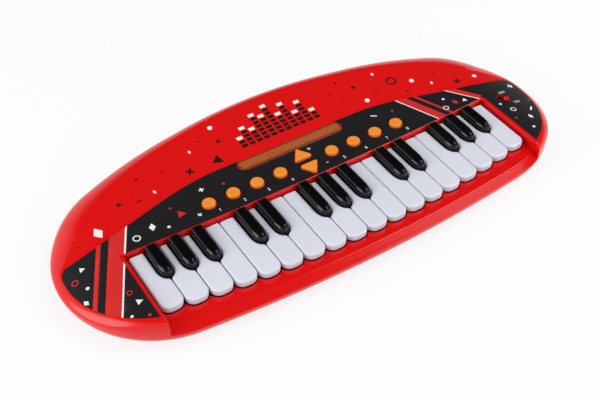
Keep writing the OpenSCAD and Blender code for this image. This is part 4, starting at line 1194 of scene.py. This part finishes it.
hoodSheet = {
    "edgeGap": 0.6, "creaseGap": 0.5, "endGap": 1.0, "leastRoom": 0.6, "low": 0.01, "high": 0.14, "step": 4.0,
    "barPitch": 6.6, "barWidth": 4.9, "segment": 3.1, "segmentPitch": 4.2, "barY": 40.0,
    "heights": (3, 5, 4, 7, 6, 8, 5, 7, 4, 6, 3)}
confetti = {
    "seed": 11, "tries": 400, "span": (44, 186), "margin": 5, "apart": 8, "reach": 0.6, "turn": 30,
    "sizes": (3.0, 4.5, 6.5, 9.0), "largestDot": 4.0,
    "kinds": ("ring", "diamond", "plus", "triangle", "dot", "bar")}


def meterPrints():  # a level meter: columns of blocks, white at the peaks
    prints = []
    for column, height in enumerate(hoodSheet["heights"]):
        cx = (column - (len(hoodSheet["heights"]) - 1) / 2) * hoodSheet["barPitch"]
        half, tall = hoodSheet["barWidth"] / 2, hoodSheet["segment"]
        for level in range(height):
            y = hoodSheet["barY"] + level * hoodSheet["segmentPitch"]
            block = [(cx - half, y), (cx + half, y), (cx + half, y + tall), (cx - half, y + tall)]
            prints.append((block, 2 if level == height - 1 else 1))
    return prints


def hoodPrints():  # plain confetti beside the meter, kept apart
    draw = random.Random(confetti["seed"])
    prints, taken = meterPrints(), []
    for number in range(confetti["tries"]):
        x = draw.uniform(*confetti["span"]) * (-1 if number % 2 else 1)
        low, high = creaseRow(x, 1) + confetti["margin"], hoodBack(x) - confetti["margin"]
        y, size = draw.uniform(low, max(low, high)), draw.choice(confetti["sizes"])
        kind = confetti["kinds"][len(taken) % len(confetti["kinds"])]
        turn = draw.uniform(-confetti["turn"], confetti["turn"])
        size = min(size, confetti["largestDot"]) if kind == "dot" else size
        reach, tone = size * confetti["reach"], 1 + (len(taken) % 3 == 1)  # every third is white
        clear = all(math.hypot(x - px, y - py) > reach + other + confetti["apart"] for px, py, other in taken)
        if high > low and clear:
            taken.append((x, y, reach))
            addMotif(prints, kind, x, y, size, turn, tone)
    return prints


def hoodPlan():  # between the crease and the rim, as far as there is room
    rows = [(x, creaseRow(x, 1) + hoodSheet["creaseGap"], hoodBack(x) - hoodSheet["edgeGap"])
            for x in acrossBody(halfLength, 160) if abs(x) < halfLength - rimInner - hoodSheet["endGap"]]
    rows = [row for row in rows if row[2] - row[1] > hoodSheet["leastRoom"]]
    return [(x, low) for x, low, _ in rows] + [(x, high) for x, _, high in rows[::-1]]


hood = printedSheet("hood_sheet", hoodPlan(), [], hoodPrints(), topAt, hoodSheet,
                    [redSheet, blackInk, whiteInk])
hand(hood, "case", "printed_sheet")
print("printed sheets made")

lettering = {
    "size": 4.4, "signSize": 6.6, "switchSize": 4.0, "rise": 0.06, "sink": 0.03, "aboveRail": 5.6,
    "besideLeft": 4.0, "besideRight": 4.5, "signs": [("+", 9.6, 13.4), ("-", 13.2, -6.2)],
    "switchWords": [("OFF", 180.8, -10.4), ("ON", 184.0, -25.4)]}


def lettersAt(body, x, y, size, closeness=0.001):  # flat text made a mesh, laid on the sheet
    curve = bpy.data.curves.new("letters", "FONT")
    curve.body, curve.size, curve.align_x, curve.align_y = body, size, "CENTER", "CENTER"
    curve.resolution_u = 3
    holder = bpy.data.objects.new("letters", curve)
    scene.collection.objects.link(holder)
    mesh = bakedMesh(holder)
    bpy.data.objects.remove(holder)
    work = bmesh.new()
    work.from_mesh(mesh)
    bmesh.ops.remove_doubles(work, verts=work.verts, dist=closeness)
    flat = [(x + v.co.x, y + v.co.y) for v in work.verts]
    number = {v: k for k, v in enumerate(work.verts)}
    faces = [tuple(number[v] for v in face.verts) for face in work.faces]
    work.free()
    verts = [(px, py, panelAt(px) + labelSheet["high"] + lift)
             for lift in (lettering["rise"], -lettering["sink"]) for px, py in flat]
    return verts, thickened(faces, len(flat))[0]


words = []
for k, x in enumerate(buttonX, 1):
    beside = lettering["besideLeft"] if x < controlX else lettering["besideRight"]
    words.append((str(k), x + beside, railAt(x) + lettering["aboveRail"], lettering["size"]))
words += [(sign, controlX + x, y, lettering["signSize"]) for sign, x, y in lettering["signs"]]
words += [(word, x, y, lettering["switchSize"]) for word, x, y in lettering["switchWords"]]
letters = makePiece("panel_lettering", together([lettersAt(*word) for word in words]), [whiteInk])
hand(letters, "case", "printed_sheet")
print("lettering made")


# inner parts keep their solids and get their finishes

finishes = {
    "key_frame": blackAbs, "pivot_rod": platedSteel, "key_contact_mat": silicone, "key_board": laminate,
    "button_contact_mat": silicone, "main_board": laminate, "wiring_loom": wireJacket,
    "switch_body": platedSteel, "speaker": blackAbs, "batteries": shrinkFilm,
    "battery_contacts": nickelSpring}
for name, material in finishes.items():
    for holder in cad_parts[name].material_slots:
        holder.material = material
print("inner parts finished")


# floor, light and camera

# the floor's size is in mm, places of camera and lamps are in metres; a softbox has its place, size and watts
stageSet = {
    "size": 6000.0, "camera": (-0.2942, -0.4448, 0.5085), "turn": (45.5759, 0.0, -32.6056), "lens": 57.18,
    "sensor": 36.0, "worldLight": 0.55, "ceiling": 0.02, "wallTilt": (0.4, 0.0, 1.0), "wallTop": (0.3, 0.62),
    "floorGlow": 0.8, "paint": (0.9, 0.9, 0.9, 1.0), "white": (1.0, 1.0, 1.0, 1.0),
    "softboxes": {"keySoftbox": ((0.75, -0.3, 1.05), 0.8, 5.0),
        "frontSoftbox": ((0.75, -1.0, 0.42), 1.0, 4.5), "leftSoftbox": ((-1.15, 0.1, 0.5), 1.0, 9.0)}}


def anyRay(tree, *kinds):  # 1 where the ray is of one of these kinds
    path = addNode(tree, "ShaderNodeLightPath")
    found, *others = [path.outputs[kind] for kind in kinds]
    for other in others:
        found = reckon(tree, "MAXIMUM", found, other)
    return found


def whiteFloor():  # painted board; the camera and mirrors see it mostly as plain white
    material = bpy.data.materials.new("paintedBoard")
    material.use_nodes = True
    tree = material.node_tree
    tree.nodes.remove(tree.nodes["Principled BSDF"])
    seen = anyRay(tree, "Is Camera Ray", "Is Glossy Ray", "Is Transmission Ray")
    share = reckon(tree, "MULTIPLY", seen, stageSet["floorGlow"])
    paint = addNode(tree, "ShaderNodeBsdfDiffuse", {"Color": stageSet["paint"]})
    glow = addNode(tree, "ShaderNodeEmission", {"Strength": 1.0})
    mix = addNode(tree, "ShaderNodeMixShader", {0: share, 1: paint, 2: glow})
    feed(tree, tree.nodes["Material Output"], {"Surface": mix})
    half = stageSet["size"] / 2
    corners = raised([(-half, -half), (half, -half), (half, half), (-half, half)], 0.0)
    floor = newPiece("floor", corners, [(0, 1, 2, 3)], [material])


def whiteSky():  # white to the camera; mirrors see white walls, higher on the left, and a dark ceiling
    world = bpy.data.worlds.new("studio")
    world.use_nodes = True
    tree = world.node_tree
    direction = addNode(tree, "ShaderNodeTexCoord").outputs["Generated"]
    height = addNode(tree, "ShaderNodeVectorMath", {
        "operation": "DOT_PRODUCT", 0: direction, 1: stageSet["wallTilt"]}).outputs["Value"]
    low, high = stageSet["wallTop"]
    room = addNode(tree, "ShaderNodeMapRange", {
        "interpolation_type": "SMOOTHSTEP", "Value": height, "From Min": low, "From Max": high,
        "To Min": 1.0, "To Max": stageSet["ceiling"]})
    mirrored = anyRay(tree, "Is Glossy Ray", "Is Transmission Ray")
    level = addNode(tree, "ShaderNodeMix", {0: mirrored, 2: stageSet["worldLight"], 3: room})
    level = addNode(tree, "ShaderNodeMix", {0: anyRay(tree, "Is Camera Ray"), 2: level, 3: 1.0})
    feed(tree, tree.nodes["Background"], {"Color": stageSet["white"], "Strength": level})
    scene.world = world


def softbox(name, place, size, watts):  # aimed at the middle of the part
    lamp = bpy.data.lights.new(name, "AREA")
    lamp.shape, lamp.size, lamp.energy = "DISK", size, watts
    holder = bpy.data.objects.new(name, lamp)
    holder.location = place
    holder.rotation_euler = (-holder.location).to_track_quat("-Z", "Y").to_euler()
    scene.collection.objects.link(holder)


whiteFloor()
whiteSky()
for name, settings in stageSet["softboxes"].items():
    softbox(name, *settings)
cameraData = bpy.data.cameras.new("camera")
cameraData.lens, cameraData.sensor_width = stageSet["lens"], stageSet["sensor"]
camera = bpy.data.objects.new("camera", cameraData)
camera.location = stageSet["camera"]
camera.rotation_euler = [math.radians(a) for a in stageSet["turn"]]
scene.collection.objects.link(camera)
scene.camera = camera
print("stage set")
